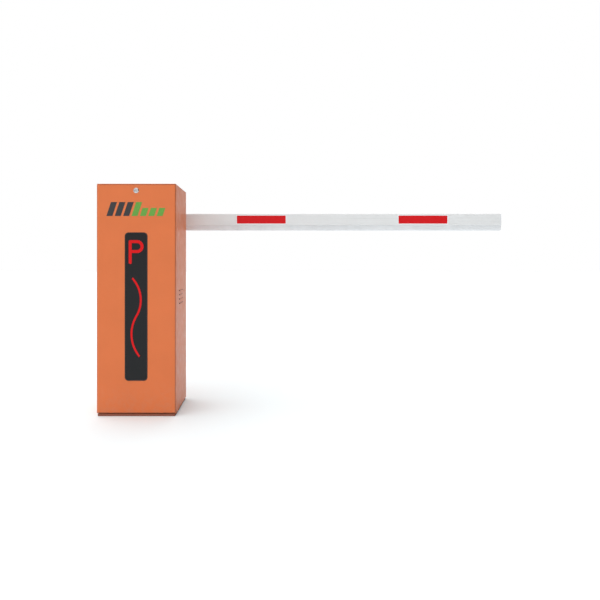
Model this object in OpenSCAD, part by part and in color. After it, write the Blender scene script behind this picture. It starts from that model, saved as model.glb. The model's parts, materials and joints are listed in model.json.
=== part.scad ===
// Parking barrier gate: a sheet-steel cabinet with a lit sign door, a worm-geared
// drive with balance springs, and a boom that swings up behind the cabinet.
// Origin: on the floor, under the middle of the four anchor holes. +X runs along the
// lowered boom, -Y is the door's side and +Z is up. Millimetres.

/* [Cabinet] */
// Width of the cabinet
cab_w = 340; // [330:1:420]
// Depth of the cabinet with its door
cab_d = 300; // [300:1:380]
// Height of the cabinet with its base plate and roof
cab_h = 1000; // [980:1:1300]
// Thickness of the cabinet's and the door's sheet steel
sheet = 2; // [1.5:0.1:3]
// Outer radius of the cabinet's vertical corners
corner_r = 5; // [4:0.5:12]
// Thickness of the base plate
base_t = 10; // [8:1:16]
// Setback of the base plate's edges from the cabinet's faces
base_inset = 4; // [2:0.5:8]
// Thickness of the roof plate
roof_t = 3; // [2:0.5:5]
// Number of louvres on each side
louvre_count = 4; // [2:1:8]
// Length of a louvre
louvre_w = 85; // [40:1:140]
// Height of the middle of the louvres
louvre_z = 505; // [300:1:560]

/* [Anchors and cable entry] */
// Distance between the anchor holes across the width
anchor_x = 220; // [180:1:224]
// Distance between the anchor holes across the depth
anchor_y = 200; // [190:1:204]
// Diameter of an anchor hole
anchor_d = 14; // [10:0.5:18]
// Width of the cable entry in the base plate
entry_w = 120; // [60:1:140]
// Depth of the cable entry in the base plate
entry_d = 70; // [40:1:80]

/* [Door and sign] */
// Depth of the door's folded edge
door_d = 22; // [18:1:28]
// Gap between the door's edge and the cabinet
door_gap = 3; // [2.8:0.1:5]
// Radius of the fold along the door's foot
foot_r = 8; // [8:0.5:10]
// Width of the sign window
window_w = 98; // [90:1:120]
// Height of the sign window
window_h = 638; // [600:1:700]
// Height of the window's centre above the floor
window_z = 472; // [440:1:520]
// Corner radius of the sign window
window_r = 16; // [12:0.5:24]
// Width of the rim round the window
bezel_w = 4; // [3:0.5:8]
// Width of the lit strokes
stroke = 13; // [8:0.5:16]
// Width of the lit curve
curve_w = 8.5; // [6:0.5:14]
// Height of the letter
letter_h = 103; // [80:1:120]
// Width of the letter
letter_w = 64; // [50:1:70]
// Distance from the cabinet's top to the lock's centre
lock_drop = 29; // [28:0.5:34]
// Diameter of the lock's head
lock_d = 24; // [22:0.5:28]

/* [Boom] */
// Distance from the shaft's axis to the boom's tip
boom_reach = 1728; // [1400:1:4000]
// Height of the boom's aluminium tube
boom_h = 58.5; // [50:0.5:80]
// Thickness of the boom's tube, front to back
boom_t = 45; // [38:0.5:60]
// Wall of the boom's tube
boom_wall = 2; // [1.5:0.1:3]
// Height of the rubber edge under the boom
bumper_h = 24; // [16:0.5:40]
// Distance from the cabinet's back to the boom
boom_gap = 60; // [50:1:90]
// Length of a reflector
tape_l = 243; // [100:1:300]
// Height of a reflector
tape_h = 40; // [20:1:46]
// Distance from one reflector to the next
tape_pitch = 804; // [400:1:900]
// Distance from the boom's tip to the last reflector
tape_end = 268; // [100:1:400]

/* [Drive] */
// Distance from the cabinet's top to the shaft's axis
shaft_drop = 126; // [120:1:160]
// Diameter of the main shaft
shaft_d = 35; // [30:0.5:40]
// Distance between the main shaft and the gearbox's output shaft
link_l = 190; // [175:1:220]
// Throw of the crank and of the lever that it drives
crank_throw = 70; // [60:1:80]
// Throw of the lever's spring arm
spring_throw = 75; // [66:1:80]
// Thickness of the drive frame's plates
plate_t = 6; // [4:0.5:8]
// Clear depth between the drive frame's plates
bay_d = 104; // [100:1:112]
// Radius of the motor over its fins
motor_r = 46; // [40:1:48]
// Length of the motor
motor_l = 170; // [120:1:190]
// Outer diameter of a balance spring
spring_d = 28; // [22:1:32]

/* [Hidden] */
$fn = 48;
run_gap = 0.05;                        // radial gap of a shaft that turns in a bore
fit_gap = 0.3;                         // gap round a piece that sits in a hole
hx = cab_w / 2;                        // the cabinet's side faces
yf = -cab_d / 2;                       // the door's front face
yb = cab_d / 2;                        // the cabinet's back face

// Cabinet
shell_y0 = yf + door_d + door_gap;     // the cabinet's front edge
shell_z1 = cab_h - roof_t;             // the roof's underside
floor_z = base_t + sheet;              // top of the cabinet's bottom flange
flange_w = 15;                         // width of the bottom flange
top_flange_w = 20;
jamb_w = 22;                           // width of the folded front edges
lip_d = 15;                            // how far the rain lip stands out of a jamb
header_h = 14;                         // the edge that the lock's cam catches
louvre_pitch = 19;
louvre_r = 4;
louvre_y = -13;
shaft_hole_r = shaft_d / 2 + 14.5;
entry_y = -45;
sill_bolt_y = [-60, 40];
sill_bolt_x = hx - 8.5;

// Door
door_foot = 2;                         // gap under the door
door_z0 = base_t + door_foot;
door_z1 = shell_z1 - 1.5;
door_y1 = yf + door_d;
skin_y = yf + sheet;                   // the door's inner face
hinge_y = yf + foot_r;
hinge_z = door_z0 + foot_r;
hinge_x = hx - 50;                     // the hinge brackets' inner faces
pin_r = 3;
pin_l = 24;
lug_t = 5;
lug_r = foot_r - sheet - 0.5;
knuckle_l = 18;
bezel_lap = 5;                         // the bezel's hidden edge behind the door
pane_gap = 0.2;                        // gap round the window pane
pane_t = 3.5;
board_w = window_w + 26;
board_h = window_h + 12;
board_y = yf + sheet + 5;              // the LED board's front face
board_t = 1.6;
stud_x = board_w / 2 - 4;
lock_z = cab_h - lock_drop;
plug_r = 6;
barrel_r = 9;
barrel_y1 = door_y1 + door_gap;
cam_t = 3;
cam_y = barrel_y1 + sheet + 3;
cam_l = lock_drop - roof_t - sheet - 1;

// The lit letter's top, and the lit curve's turning points from the window's centre
letter_z1 = window_z + 286;
curve_z = [119, 28, -45, -118, -211];
curve_x = [-14, 20, -1, -20, 12];

// Shaft and boom
shaft_z = cab_h - shaft_drop;
shaft_r = shaft_d / 2;
boom_y0 = yb + boom_gap;
boom_y = boom_y0 + boom_t / 2;
boom_y1 = boom_y0 + boom_t;
boom_tail = 115;
boom_round = 4;
cap_t = 5;
pad_t = 2;
bracket_t = 10;
bracket_w = 220;
clamp_t = 6;
clamp_bolt_x = 85;
clamp_bolt_z = boom_h / 2 + 11;
clamp_h = 2 * (clamp_bolt_z + 12);
bracket_y0 = boom_y0 - pad_t - bracket_t;
flange_t = 12;
flange_r = 48;
groove_w = 10;                         // mouth of the groove that holds the rubber edge
groove_in_w = 18;
groove_in_h = 4;
groove_top = -boom_h / 2 + 2 * boom_wall + groove_in_h;
bumper_w = boom_t - 9;
bumper_x0 = bracket_w / 2 + 12;
tape_t = 0.4;

// Drive frame: a box of four plates bolted between two posts
bearing_room = 30;
bearing_t = 24;
rear_y = yb - sheet - bearing_room - plate_t;
front_y = rear_y - bay_d - plate_t;
bay_y = rear_y - bay_d / 2;            // middle plane of the lever and crank
post_w = 30;
post_d = 60;
post_t = 3;
post_x = hx - sheet - 16 - post_w;     // the posts' inner faces
post_y0 = bay_y - 45;
foot_t = 6;
gear_z = shaft_z - link_l;
frame_z0 = gear_z - 66;
frame_z1 = shaft_z + 92;
frame_bolt_z = [frame_z0 + 40, frame_z1 - 60];
frame_bolt_y = [bay_y - 25, bay_y - 5];
bolt_r = 4;
bolt_hole_r = 4.3;
head_r = 7.5;
head_t = 5.3;
nut_t = 6.5;
ear_x = 52;                            // the bearings' bolts, from the shaft's axis
ear_t = 14;
ear_r = 13;
race_r = shaft_r + 8.5;
box_lug = 50;                          // the gearbox's bolts, from its axis
lug_d = 14;

// Lever and links: the lever leans by this much below the level at rest
lean = 45;
lever_t = 12;
lever_w = 32;
hub_r = 28;
link_pin_r = 6;
spring_pin_r = 5;
link_t = 14;
link_r = 14;
link_gap = 4;
link_y = bay_y - lever_t / 2 - link_gap - link_t / 2;
crank_x = crank_throw * cos(lean);
crank_dz = crank_throw * sin(lean);
spring_x = -spring_throw * cos(lean);
spring_top = shaft_z + spring_throw * sin(lean);
buffer_l = 15;
buffer_r = 12;
buffer_at = 60;                        // the buffers' distance from the shaft's axis
buffer_gap = 0.4;
stop_n = lever_w / 2 + buffer_gap + buffer_l;
stop_top = 85;

// Worm gear
gear_m = 2;                            // module
wheel_teeth = 40;
worm_pr = 10;                          // pitch radius of the worm
wheel_pr = gear_m * wheel_teeth / 2;
worm_x = wheel_pr + worm_pr;
tip_gap = 0.2;                         // how far the teeth's tips stay short
wheel_t = 12;
gear_y = front_y - 54;                 // middle plane of the worm wheel
out_r = 12.5;
box_r = wheel_pr + 20;
box_y0 = front_y - 76;
cavity_r = wheel_pr + 3;
cover_t = 8;
cover_r = 52;
neck = 10;

// Motor
motor_z1 = gear_z - box_r - neck;
motor_z0 = motor_z1 - motor_l;
rotor_r = 8;
bell_t = 16;
stator_r = motor_r - 13;
hand_z = motor_z0 - 40;                // the hand wheel's lower face
hand_r = 36;
rim_r = 5;

// Springs
spring_dy = 24;
spring_z0 = 300;                       // where the springs' lower hooks bear
wire_r = 2.4;
hook_r = 9;
eye_wire = 2.5;
eye_r = 9;
anchor_z1 = 118;
anchor_t = 14;
coil_pitch = 9;

// Controls
panel_t = 3;
panel_y = post_y0 - panel_t;           // the panel's front face
panel_z0 = 96;
panel_z1 = 330;
pcb_x0 = -112;
pcb_w = 138;
pcb_z0 = 120;
pcb_h = 190;
pcb_y = panel_y - 10;                  // the circuit board's front face
pcb_t = 1.6;
term_h = 18;
button_x0 = -70;
button_dx = 26;
button_z = 176;
button_r = 6;
button_travel = 1.5;
breaker_x0 = 46;
breaker_w = 36;
breaker_z0 = 112;
breaker_h = 84;
rail_t = 8;
breaker_y = panel_y - rail_t;          // the breaker's back
breaker_d = 62;
toggle_y = breaker_y - breaker_d + 6;
toggle_z = breaker_z0 + breaker_h / 2;
toggle_r = 5.5;
psu_x0 = 44;
psu_w = 74;
psu_z0 = 216;
psu_h = 104;
psu_d = 34;

// ---------------------------------------------------------------- helpers

// Box from one corner to the other
module block(a, b) { translate(a) cube(b - a); }

// A flat shape drawn in X and Z, made solid from y0 to y1
module along_y(y0, y1) { translate([0, y1, 0]) rotate([90, 0, 0]) linear_extrude(y1 - y0) children(); }

// A flat shape drawn in Y and Z, made solid from x0 to x1
module along_x(x0, x1) { translate([x0, 0, 0]) rotate([90, 0, 90]) linear_extrude(x1 - x0) children(); }

// A flat shape drawn in X and Y, made solid from z0 to z1
module along_z(z0, z1) { translate([0, 0, z0]) linear_extrude(z1 - z0) children(); }

module rod_x(y, z, r, x0, x1) { translate([x0, y, z]) rotate([0, 90, 0]) cylinder(r = r, h = x1 - x0); }
module rod_y(x, z, r, y0, y1) { translate([x, y1, z]) rotate([90, 0, 0]) cylinder(r = r, h = y1 - y0); }
module rod_z(x, y, r, z0, z1) { translate([x, y, z0]) cylinder(r = r, h = z1 - z0); }

// Hexagon heads and nuts, along each axis
module hex_x(y, z, r, x0, x1) { translate([x0, y, z]) rotate([0, 90, 0]) cylinder(r = r, h = x1 - x0, $fn = 6); }
module hex_y(x, z, r, y0, y1) { translate([x, y1, z]) rotate([90, 0, 0]) cylinder(r = r, h = y1 - y0, $fn = 6); }
module hex_z(x, y, r, z0, z1) { translate([x, y, z0]) cylinder(r = r, h = z1 - z0, $fn = 6); }

// The children and their mirror image across the cabinet's middle
module both_sides() { children(); mirror([1, 0, 0]) children(); }

// Rectangle with round corners, centred
module round_rect(w, h, r) {
    square([w - 2 * r, h], center = true);
    square([w, h - 2 * r], center = true);
    for (sx = [-1, 1], sy = [-1, 1]) translate([sx * (w / 2 - r), sy * (h / 2 - r)]) circle(r = r);
}

// Rectangle from a to b whose two corners at its low end in Y are round
module front_rounded(a, b, r) {
    translate([a[0], a[1] + r]) square([b[0] - a[0], b[1] - a[1] - r]);
    translate([a[0] + r, a[1]]) square([b[0] - a[0] - 2 * r, r + 1]);
    for (x = [a[0] + r, b[0] - r]) translate([x, a[1] + r]) circle(r = r);
}

// Bar with round ends between two points of a plane
module bar(a, b, w) {
    d = b - a;
    translate(a) rotate(atan2(d[1], d[0])) translate([0, -w / 2]) square([norm(d), w]);
    translate(a) circle(d = w);
    translate(b) circle(d = w);
}

// Centre of the circle through three points of a plane
function circle_centre(a, b, c) =
    let (p = b - a, q = c - a, k = 2 * (p[0] * q[1] - p[1] * q[0]))
    a + [q[1] * (p * p) - p[1] * (q * q), p[0] * (q * q) - q[0] * (p * p)] / k;

// Stroke of width w along the arc from a through b to c, with round ends
module arc_stroke(a, b, c, w) {
    m = circle_centre(a, b, c);
    r = norm(a - m);
    chord = c - a;
    side = sign(chord[0] * (b - a)[1] - chord[1] * (b - a)[0]);
    intersection() {
        translate(m) difference() {
            circle(r = r + w / 2, $fn = 96);
            circle(r = r - w / 2, $fn = 96);
        }
        translate(a) rotate(atan2(chord[1], chord[0]))
            translate([-w, side > 0 ? 0 : -4 * w]) square([norm(chord) + 2 * w, 4 * w]);
    }
    translate(a) circle(d = w);
    translate(c) circle(d = w);
}

// Ring of round wire whose axis is Y (turn = 0) or X (turn = 90)
module ring(centre, r, wire, turn) {
    translate(centre) rotate([90, 0, turn]) rotate_extrude($fn = 24) translate([r, 0]) circle(r = wire, $fn = 14);
}

// Straight round piece between two points
module strut(a, b, r) {
    d = b - a;
    translate(a) rotate([0, acos(d[2] / norm(d)), atan2(d[1], d[0])]) cylinder(r = r, h = norm(d), $fn = 16);
}

// Cable through a list of points, rounded at its corners
module wire_run(p, r) {
    for (i = [1 : len(p) - 1]) strut(p[i - 1], p[i], r);
    for (i = [1 : 1 : len(p) - 2]) translate(p[i]) sphere(r = r, $fn = 16);
}

// ---------------------------------------------------------------- base and cabinet

module anchor_holes(r) {
    for (sx = [-1, 1], sy = [-1, 1]) translate([sx * anchor_x / 2, sy * anchor_y / 2]) circle(r = r);
}

module sill_bolts(r) {
    for (sx = [-1, 1], y = sill_bolt_y) translate([sx * sill_bolt_x, y]) circle(r = r);
}

module foot_bolts(r) {
    for (sx = [-1, 1], y = [post_y0 + 16, post_y0 + post_d - 16]) translate([sx * (post_x + 16), y]) circle(r = r);
}

module base_plate() {
    color("dimgray") difference() {
        along_z(0, base_t) difference() {
            square([cab_w - 2 * base_inset, cab_d - 2 * base_inset], center = true);
            translate([0, entry_y]) round_rect(entry_w, entry_d, 10);
            anchor_holes(anchor_d / 2);
        }
        along_z(3, base_t + 1) { sill_bolts(3 + fit_gap); foot_bolts(bolt_hole_r); }
    }
}

// Rubber edging that sits in the cable entry and laps over its upper edge
module cable_grommet() {
    lap = 4;
    wall = 3;
    color("black") difference() {
        union() {
            along_z(0.5, base_t) translate([0, entry_y]) round_rect(entry_w - 0.2, entry_d - 0.2, 10);
            along_z(base_t, base_t + 2) translate([0, entry_y])
                round_rect(entry_w + 2 * lap, entry_d + 2 * lap, 10 + lap);
        }
        along_z(-1, base_t + 3) translate([0, entry_y])
            round_rect(entry_w - 2 * wall, entry_d - 2 * wall, 10 - wall);
    }
}

// Plan of the cabinet's walls, inset by t; an inset plan runs out through the open front
module wall_plan(t) {
    mirror([0, 1]) front_rounded([-hx + t, -yb + t], [hx - t, -shell_y0 + (t > 0 ? 1 : 0)], corner_r - t);
}

// Plan of a flange of width w that runs round inside the walls
module flange_plan(w) {
    difference() {
        wall_plan(0);
        translate([-hx + w, shell_y0 + w]) square([cab_w - 2 * w, yb - shell_y0 - 2 * w]);
    }
}

module louvre_rows() {
    for (i = [0 : louvre_count - 1])
        translate([0, louvre_y, louvre_z + (i - (louvre_count - 1) / 2) * louvre_pitch]) children();
}

// Hood of one louvre on the right-hand wall, open at its foot
module louvre_hood() {
    wall = 1.2;
    intersection() {
        difference() {
            rod_y(hx - 0.5, 0, louvre_r + 0.5, -louvre_w / 2, louvre_w / 2);
            rod_y(hx - 0.5, 0, louvre_r + 0.5 - wall, -louvre_w / 2 + wall, louvre_w / 2 - wall);
        }
        block([hx - 1, -louvre_w, 0], [hx + louvre_r + 1, louvre_w, louvre_r + 1]);
    }
}

module louvre_slot() {
    block([hx - sheet - 1, -louvre_w / 2 + 1.2, 0.2], [hx + 0.1, louvre_w / 2 - 1.2, louvre_r - 1]);
}

module cabinet_shell() {
    color("coral") difference() {
        union() {
            difference() {
                along_z(base_t, shell_z1) wall_plan(0);
                along_z(base_t - 1, shell_z1 + 1) wall_plan(sheet);
            }
            along_z(base_t, floor_z) flange_plan(flange_w);
            along_z(shell_z1 - sheet, shell_z1) flange_plan(top_flange_w);
            both_sides() {
                block([hx - jamb_w, shell_y0, base_t], [hx - sheet / 2, shell_y0 + sheet, shell_z1]);
                block([hx - jamb_w, shell_y0 - lip_d, 40], [hx - jamb_w + sheet, shell_y0 + sheet, lock_z - 25]);
                louvre_rows() louvre_hood();
            }
            block([-hx + jamb_w, shell_y0, shell_z1 - header_h], [hx - jamb_w, shell_y0 + sheet, shell_z1]);
        }
        both_sides() louvre_rows() louvre_slot();
        rod_y(0, shaft_z, shaft_hole_r, yb - 10, yb + 1);
        along_z(base_t - 1, floor_z + 1) { anchor_holes(anchor_d / 2); sill_bolts(3 + fit_gap); }
    }
}

module roof_cover() {
    color("coral") {
        along_z(shell_z1, cab_h) round_rect(cab_w, cab_d, corner_r);
        // stiffening rails welded under the plate
        for (y = [-60, 40]) block([-hx + 40, y, shell_z1 - 8], [hx - 40, y + 20, shell_z1]);
    }
}

// Brackets on the cabinet's sill whose pins carry the door
module hinge_brackets() {
    foot_y = shell_y0 + 1;
    color("silver") both_sides() {
        along_x(hinge_x, hinge_x + lug_t) {
            translate([hinge_y, hinge_z]) circle(r = lug_r);
            translate([hinge_y, hinge_z - lug_r]) square([foot_y + 13 - hinge_y, 2 * lug_r]);
            translate([foot_y, floor_z]) square([13, hinge_z - floor_z]);
        }
        block([hinge_x - 14, foot_y, floor_z], [hinge_x + lug_t, foot_y + 13, floor_z + 2]);
        rod_x(hinge_y, hinge_z, pin_r, hinge_x - pin_l, hinge_x + 1);
    }
}

// ---------------------------------------------------------------- drive frame

module post_plan() {
    difference() {
        translate([post_x, post_y0]) square([post_w, post_d]);
        translate([post_x + post_t, post_y0 + post_t]) square([post_w, post_d - 2 * post_t]);
    }
}

module frame_posts() {
    color("gray") difference() {
        both_sides() {
            along_z(base_t, frame_z1 - 6) post_plan();
            block([post_x - 10, post_y0, base_t], [post_x + post_w - 1, post_y0 + post_d, base_t + foot_t]);
        }
        both_sides() for (z = frame_bolt_z, y = frame_bolt_y)
            rod_x(y, z, bolt_hole_r, post_x - 1, post_x + post_t + 1);
        along_z(base_t - 1, base_t + foot_t + 1) foot_bolts(bolt_hole_r);
    }
}

// Windows that lighten the front plate and show the linkage
module frame_windows() {
    for (s = [-1, 1]) translate([s * (post_x + box_lug + head_r - 4) / 2, gear_z + 30])
        round_rect(post_x - box_lug - head_r - 24, 150, 8);
}

module drive_frame() {
    w = post_x;
    color("slategray") difference() {
        union() {
            block([-w, front_y, frame_z0], [w, front_y + plate_t, frame_z1]);
            block([-w, rear_y, frame_z0], [w, rear_y + plate_t, frame_z1]);
            both_sides() block([w - plate_t, front_y, frame_z0], [w, rear_y + plate_t, frame_z1]);
        }
        rod_y(0, shaft_z, shaft_r + 8, front_y - 1, rear_y + plate_t + 1);
        rod_y(0, gear_z, out_r + 8, front_y - 1, front_y + plate_t + 1);
        along_y(front_y - 1, front_y + plate_t + 1) frame_windows();
        for (s = [-1, 1]) rod_y(s * ear_x, shaft_z, bolt_hole_r, front_y - 1, rear_y + plate_t + 1);
        for (sx = [-1, 1], sz = [-1, 1])
            rod_y(sx * box_lug, gear_z + sz * box_lug, bolt_hole_r, front_y - 1, front_y + plate_t + 1);
        both_sides() for (z = frame_bolt_z, y = frame_bolt_y) rod_x(y, z, bolt_hole_r, w - plate_t - 1, w + 1);
    }
}

// M8 bolts of the frame, bearings, gearbox and posts, and the cabinet's M6 sill bolts
module hex_bolts() {
    color("lightgray") {
        both_sides() for (z = frame_bolt_z, y = frame_bolt_y) {
            rod_x(y, z, bolt_r, post_x - plate_t - nut_t - 2, post_x + post_t + 1);
            hex_x(y, z, head_r, post_x + post_t, post_x + post_t + head_t);
            hex_x(y, z, head_r, post_x - plate_t - nut_t, post_x - plate_t);
        }
        for (s = [-1, 1]) {
            rod_y(s * ear_x, shaft_z, bolt_r, front_y - ear_t - 1, front_y + plate_t + nut_t + 2);
            hex_y(s * ear_x, shaft_z, head_r, front_y - ear_t - head_t, front_y - ear_t);
            hex_y(s * ear_x, shaft_z, head_r, front_y + plate_t, front_y + plate_t + nut_t);
            rod_y(s * ear_x, shaft_z, bolt_r, rear_y - nut_t - 2, rear_y + plate_t + ear_t + 1);
            hex_y(s * ear_x, shaft_z, head_r, rear_y + plate_t + ear_t, rear_y + plate_t + ear_t + head_t);
            hex_y(s * ear_x, shaft_z, head_r, rear_y - nut_t, rear_y);
        }
        for (sx = [-1, 1], sz = [-1, 1]) {
            x = sx * box_lug;
            z = gear_z + sz * box_lug;
            rod_y(x, z, bolt_r, front_y - lug_d - 1, front_y + plate_t + nut_t + 2);
            hex_y(x, z, head_r, front_y - lug_d - head_t, front_y - lug_d);
            hex_y(x, z, head_r, front_y + plate_t, front_y + plate_t + nut_t);
        }
        along_z(4, base_t + foot_t + 1) foot_bolts(bolt_r);
        for (sx = [-1, 1], y = [post_y0 + 16, post_y0 + post_d - 16])
            hex_z(sx * (post_x + 16), y, head_r, base_t + foot_t, base_t + foot_t + head_t);
        along_z(4, floor_z + 1) sill_bolts(3);
        for (sx = [-1, 1], y = sill_bolt_y) hex_z(sx * sill_bolt_x, y, 5.5, floor_z, floor_z + 4);
    }
}

// Housing that stands from the plane y0 forwards (away = -1) or backwards (away = 1)
module bearing_housing(y0, away) {
    ear = away > 0 ? [y0, y0 + ear_t] : [y0 - ear_t, y0];
    boss = away > 0 ? [y0, y0 + bearing_t] : [y0 - bearing_t, y0];
    difference() {
        union() {
            along_y(ear[0], ear[1]) translate([0, shaft_z]) {
                circle(r = race_r + 9);
                for (s = [-1, 1]) bar([0, 0], [s * ear_x, 0], 2 * ear_r);
            }
            rod_y(0, shaft_z, race_r + 7, boss[0], boss[1]);
        }
        rod_y(0, shaft_z, race_r + run_gap, boss[0] - 1, boss[1] + 1);
        for (s = [-1, 1]) rod_y(s * ear_x, shaft_z, bolt_hole_r, boss[0] - 1, boss[1] + 1);
    }
}

module bearing_housings() {
    color("darkslategray") {
        bearing_housing(front_y, -1);
        bearing_housing(rear_y + plate_t, 1);
    }
}

// Rubber ring that closes the shaft's hole in the back wall
module shaft_seal() {
    color("black") difference() {
        union() {
            rod_y(0, shaft_z, shaft_hole_r + 14, yb, yb + 5);
            rod_y(0, shaft_z, shaft_hole_r - fit_gap, yb - sheet - 2, yb + 1);
            rod_y(0, shaft_z, shaft_r + 8, yb, yb + 10);
        }
        rod_y(0, shaft_z, shaft_r + 0.5, yb - 10, yb + 11);
    }
}

// Wedge over the shaft whose two faces carry the buffers
module stop_block() {
    apex = stop_n / cos(lean);
    half = stop_top - apex;
    color("slategray") along_y(front_y + plate_t, rear_y) translate([0, shaft_z])
        polygon([[0, apex], [half, stop_top], [-half, stop_top]]);
}

module rubber_buffers() {
    color("black") for (s = [-1, 1]) translate([0, bay_y, shaft_z]) rotate([0, -s * lean, 0])
        translate([s * buffer_at, 0, lever_w / 2 + buffer_gap]) cylinder(r = buffer_r, h = buffer_l);
}

// ---------------------------------------------------------------- lever and links

module main_shaft() {
    color("silver") {
        rod_y(0, shaft_z, shaft_r, front_y - bearing_t - 5, bracket_y0 - flange_t);
        rod_y(0, shaft_z, 10, front_y - bearing_t - 14, front_y - bearing_t - 4);
    }
}

// Bearing rings clamped on the shaft, inside the housings
module bearing_inserts() {
    color("gainsboro") for (y = [front_y - bearing_t + 2, rear_y + plate_t + 2]) difference() {
        rod_y(0, shaft_z, race_r, y, y + bearing_t - 4);
        rod_y(0, shaft_z, shaft_r + run_gap, y - 1, y + bearing_t);
    }
}

module rocker_lever() {
    color("steelblue") translate([0, 0, shaft_z]) rotate([0, lean, 0]) difference() {
        union() {
            along_y(bay_y - lever_t / 2, bay_y + lever_t / 2) {
                bar([-spring_throw, 0], [crank_throw, 0], lever_w);
                circle(r = hub_r);
            }
            rod_y(0, 0, hub_r - 4, bay_y - 16, bay_y + 16);
        }
        rod_y(0, 0, shaft_r + run_gap, bay_y - 20, bay_y + 20);
        rod_y(crank_throw, 0, link_pin_r + run_gap, bay_y - 20, bay_y + 20);
        rod_y(-spring_throw, 0, spring_pin_r + run_gap, bay_y - 20, bay_y + 20);
    }
}

// Pin with a head behind its arm, a collar before the link and a cap in front of it
module link_pin(x, z, arm_t) {
    y0 = bay_y - arm_t / 2;
    rod_y(x, z, link_pin_r, link_y - link_t / 2 - 5, bay_y + arm_t / 2 + 4);
    rod_y(x, z, link_pin_r + 4, y0 - link_gap + fit_gap, y0);
    rod_y(x, z, link_pin_r + 4, bay_y + arm_t / 2, bay_y + arm_t / 2 + 4);
    rod_y(x, z, link_pin_r + 4, link_y - link_t / 2 - 5, link_y - link_t / 2 - 1);
}

module lever_pins() {
    half = spring_dy + 12;
    color("silver") {
        link_pin(crank_x, shaft_z - crank_dz, lever_t);
        rod_y(spring_x, spring_top, spring_pin_r, bay_y - half, bay_y + half);
        for (s = [-1, 1]) rod_y(spring_x, spring_top, spring_pin_r + 3, bay_y + s * (half - 1.5) - 1.5,
                                bay_y + s * (half - 1.5) + 1.5);
    }
}

// Switching disc on the shaft's front end: a notch passes the sensors at each end of travel
module position_disc() {
    y = front_y - bearing_t - 11;
    color("goldenrod") difference() {
        rod_y(0, shaft_z, 34, y, y + 3);
        rod_y(0, shaft_z, 10 + run_gap, y - 1, y + 4);
        along_y(y - 1, y + 4) translate([0, shaft_z]) polygon([[0, 20], [-10, 40], [10, 40]]);
    }
}

// Parallel link from the crank's pin up to the lever's pin
module connecting_rod() {
    p0 = [crank_x, gear_z - crank_dz];
    p1 = [crank_x, shaft_z - crank_dz];
    color("orange") difference() {
        along_y(link_y - link_t / 2, link_y + link_t / 2) {
            for (p = [p0, p1]) translate(p) circle(r = link_r);
            translate([crank_x - 9, p0[1]]) square([18, link_l]);
        }
        rod_y(p0[0], p0[1], link_pin_r + run_gap, link_y - link_t, link_y + link_t);
        rod_y(p1[0], p1[1], link_pin_r + 0.4, link_y - link_t, link_y + link_t);
    }
}

module crank_arm() {
    color("steelblue") translate([0, 0, gear_z]) rotate([0, lean, 0]) difference() {
        union() {
            along_y(bay_y - lever_t / 2, bay_y + lever_t / 2) bar([0, 0], [crank_throw, 0], 28);
            rod_y(0, 0, 24, bay_y + lever_t / 2 - 1, bay_y + 12);
            rod_y(0, 0, 24, bay_y - lever_t / 2 - 3, bay_y - lever_t / 2 + 1);
            link_pin(crank_throw, 0, lever_t);
        }
        rod_y(0, 0, out_r + run_gap, bay_y - 20, bay_y + 20);
    }
}

// ---------------------------------------------------------------- gearbox and motor

module output_shaft() {
    color("silver") {
        rod_y(0, gear_z, out_r, box_y0 + 2, bay_y + 14);
        rod_y(0, gear_z, out_r + 4, bay_y + 12, bay_y + 16);
    }
}

// Straight-flanked gear outline with the tips held short of the pitch line
module gear_outline(teeth, root, tip) {
    step = 360 / teeth;
    polygon([for (i = [0 : teeth - 1], p = [[root, -0.3], [tip, -0.16], [tip, 0.16], [root, 0.3]])
        p[0] * [cos((i + p[1]) * step), sin((i + p[1]) * step)]]);
}

module worm_wheel() {
    color("goldenrod") difference() {
        along_y(gear_y - wheel_t / 2, gear_y + wheel_t / 2) translate([0, gear_z])
            gear_outline(wheel_teeth, wheel_pr - 1.5 * gear_m, wheel_pr - tip_gap);
        rod_y(0, gear_z, out_r + run_gap, gear_y - wheel_t, gear_y + wheel_t);
    }
}

module gearbox_housing() {
    z0 = gear_z - box_r - neck;
    color("slategray") difference() {
        union() {
            rod_y(0, gear_z, box_r, box_y0, front_y);
            along_y(front_y - lug_d, front_y) translate([0, gear_z])
                for (s = [-1, 1]) bar([-box_lug, s * box_lug], [box_lug, s * box_lug], 22);
            rod_z(worm_x, gear_y, 22, z0, gear_z + 46);
            rod_z(worm_x, gear_y, motor_r - 6, z0, z0 + 8);
        }
        rod_y(0, gear_z, cavity_r, box_y0 - 1, front_y - 40);
        rod_y(0, gear_z, out_r + run_gap, front_y - 41, front_y + 1);
        rod_z(worm_x, gear_y, worm_pr + 4, gear_z - 26, gear_z + 26);
        rod_z(worm_x, gear_y, rotor_r + run_gap, z0 - 1, gear_z + 41);
        for (sx = [-1, 1], sz = [-1, 1])
            rod_y(sx * box_lug, gear_z + sz * box_lug, bolt_hole_r, box_y0 - 1, front_y + 1);
    }
}

module gearbox_cover() {
    color("lightslategray") difference() {
        union() {
            rod_y(0, gear_z, cover_r, box_y0 - cover_t, box_y0);
            rod_y(0, gear_z, cavity_r - fit_gap, box_y0, box_y0 + 6);
            for (a = [30 : 60 : 330]) rod_y(47 * cos(a), gear_z + 47 * sin(a), 3.5, box_y0 - cover_t - 3, box_y0 - 1);
        }
        rod_y(0, gear_z, out_r + run_gap, box_y0 - 1, box_y0 + 7);
    }
}

module worm_shaft() {
    pitch = PI * gear_m;
    turns = 6;
    color("silver") {
        rod_z(worm_x, gear_y, rotor_r, hand_z + 2, gear_z + 40);
        translate([worm_x, gear_y, gear_z - turns * pitch / 2]) rotate_extrude()
            polygon([[0, 0], for (i = [0 : turns - 1], p = [[8.2, 0.05], [worm_pr - tip_gap, 0.35],
                [worm_pr - tip_gap, 0.65], [8.2, 0.95]]) [p[0], (i + p[1]) * pitch], [0, turns * pitch]]);
    }
}

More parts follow.
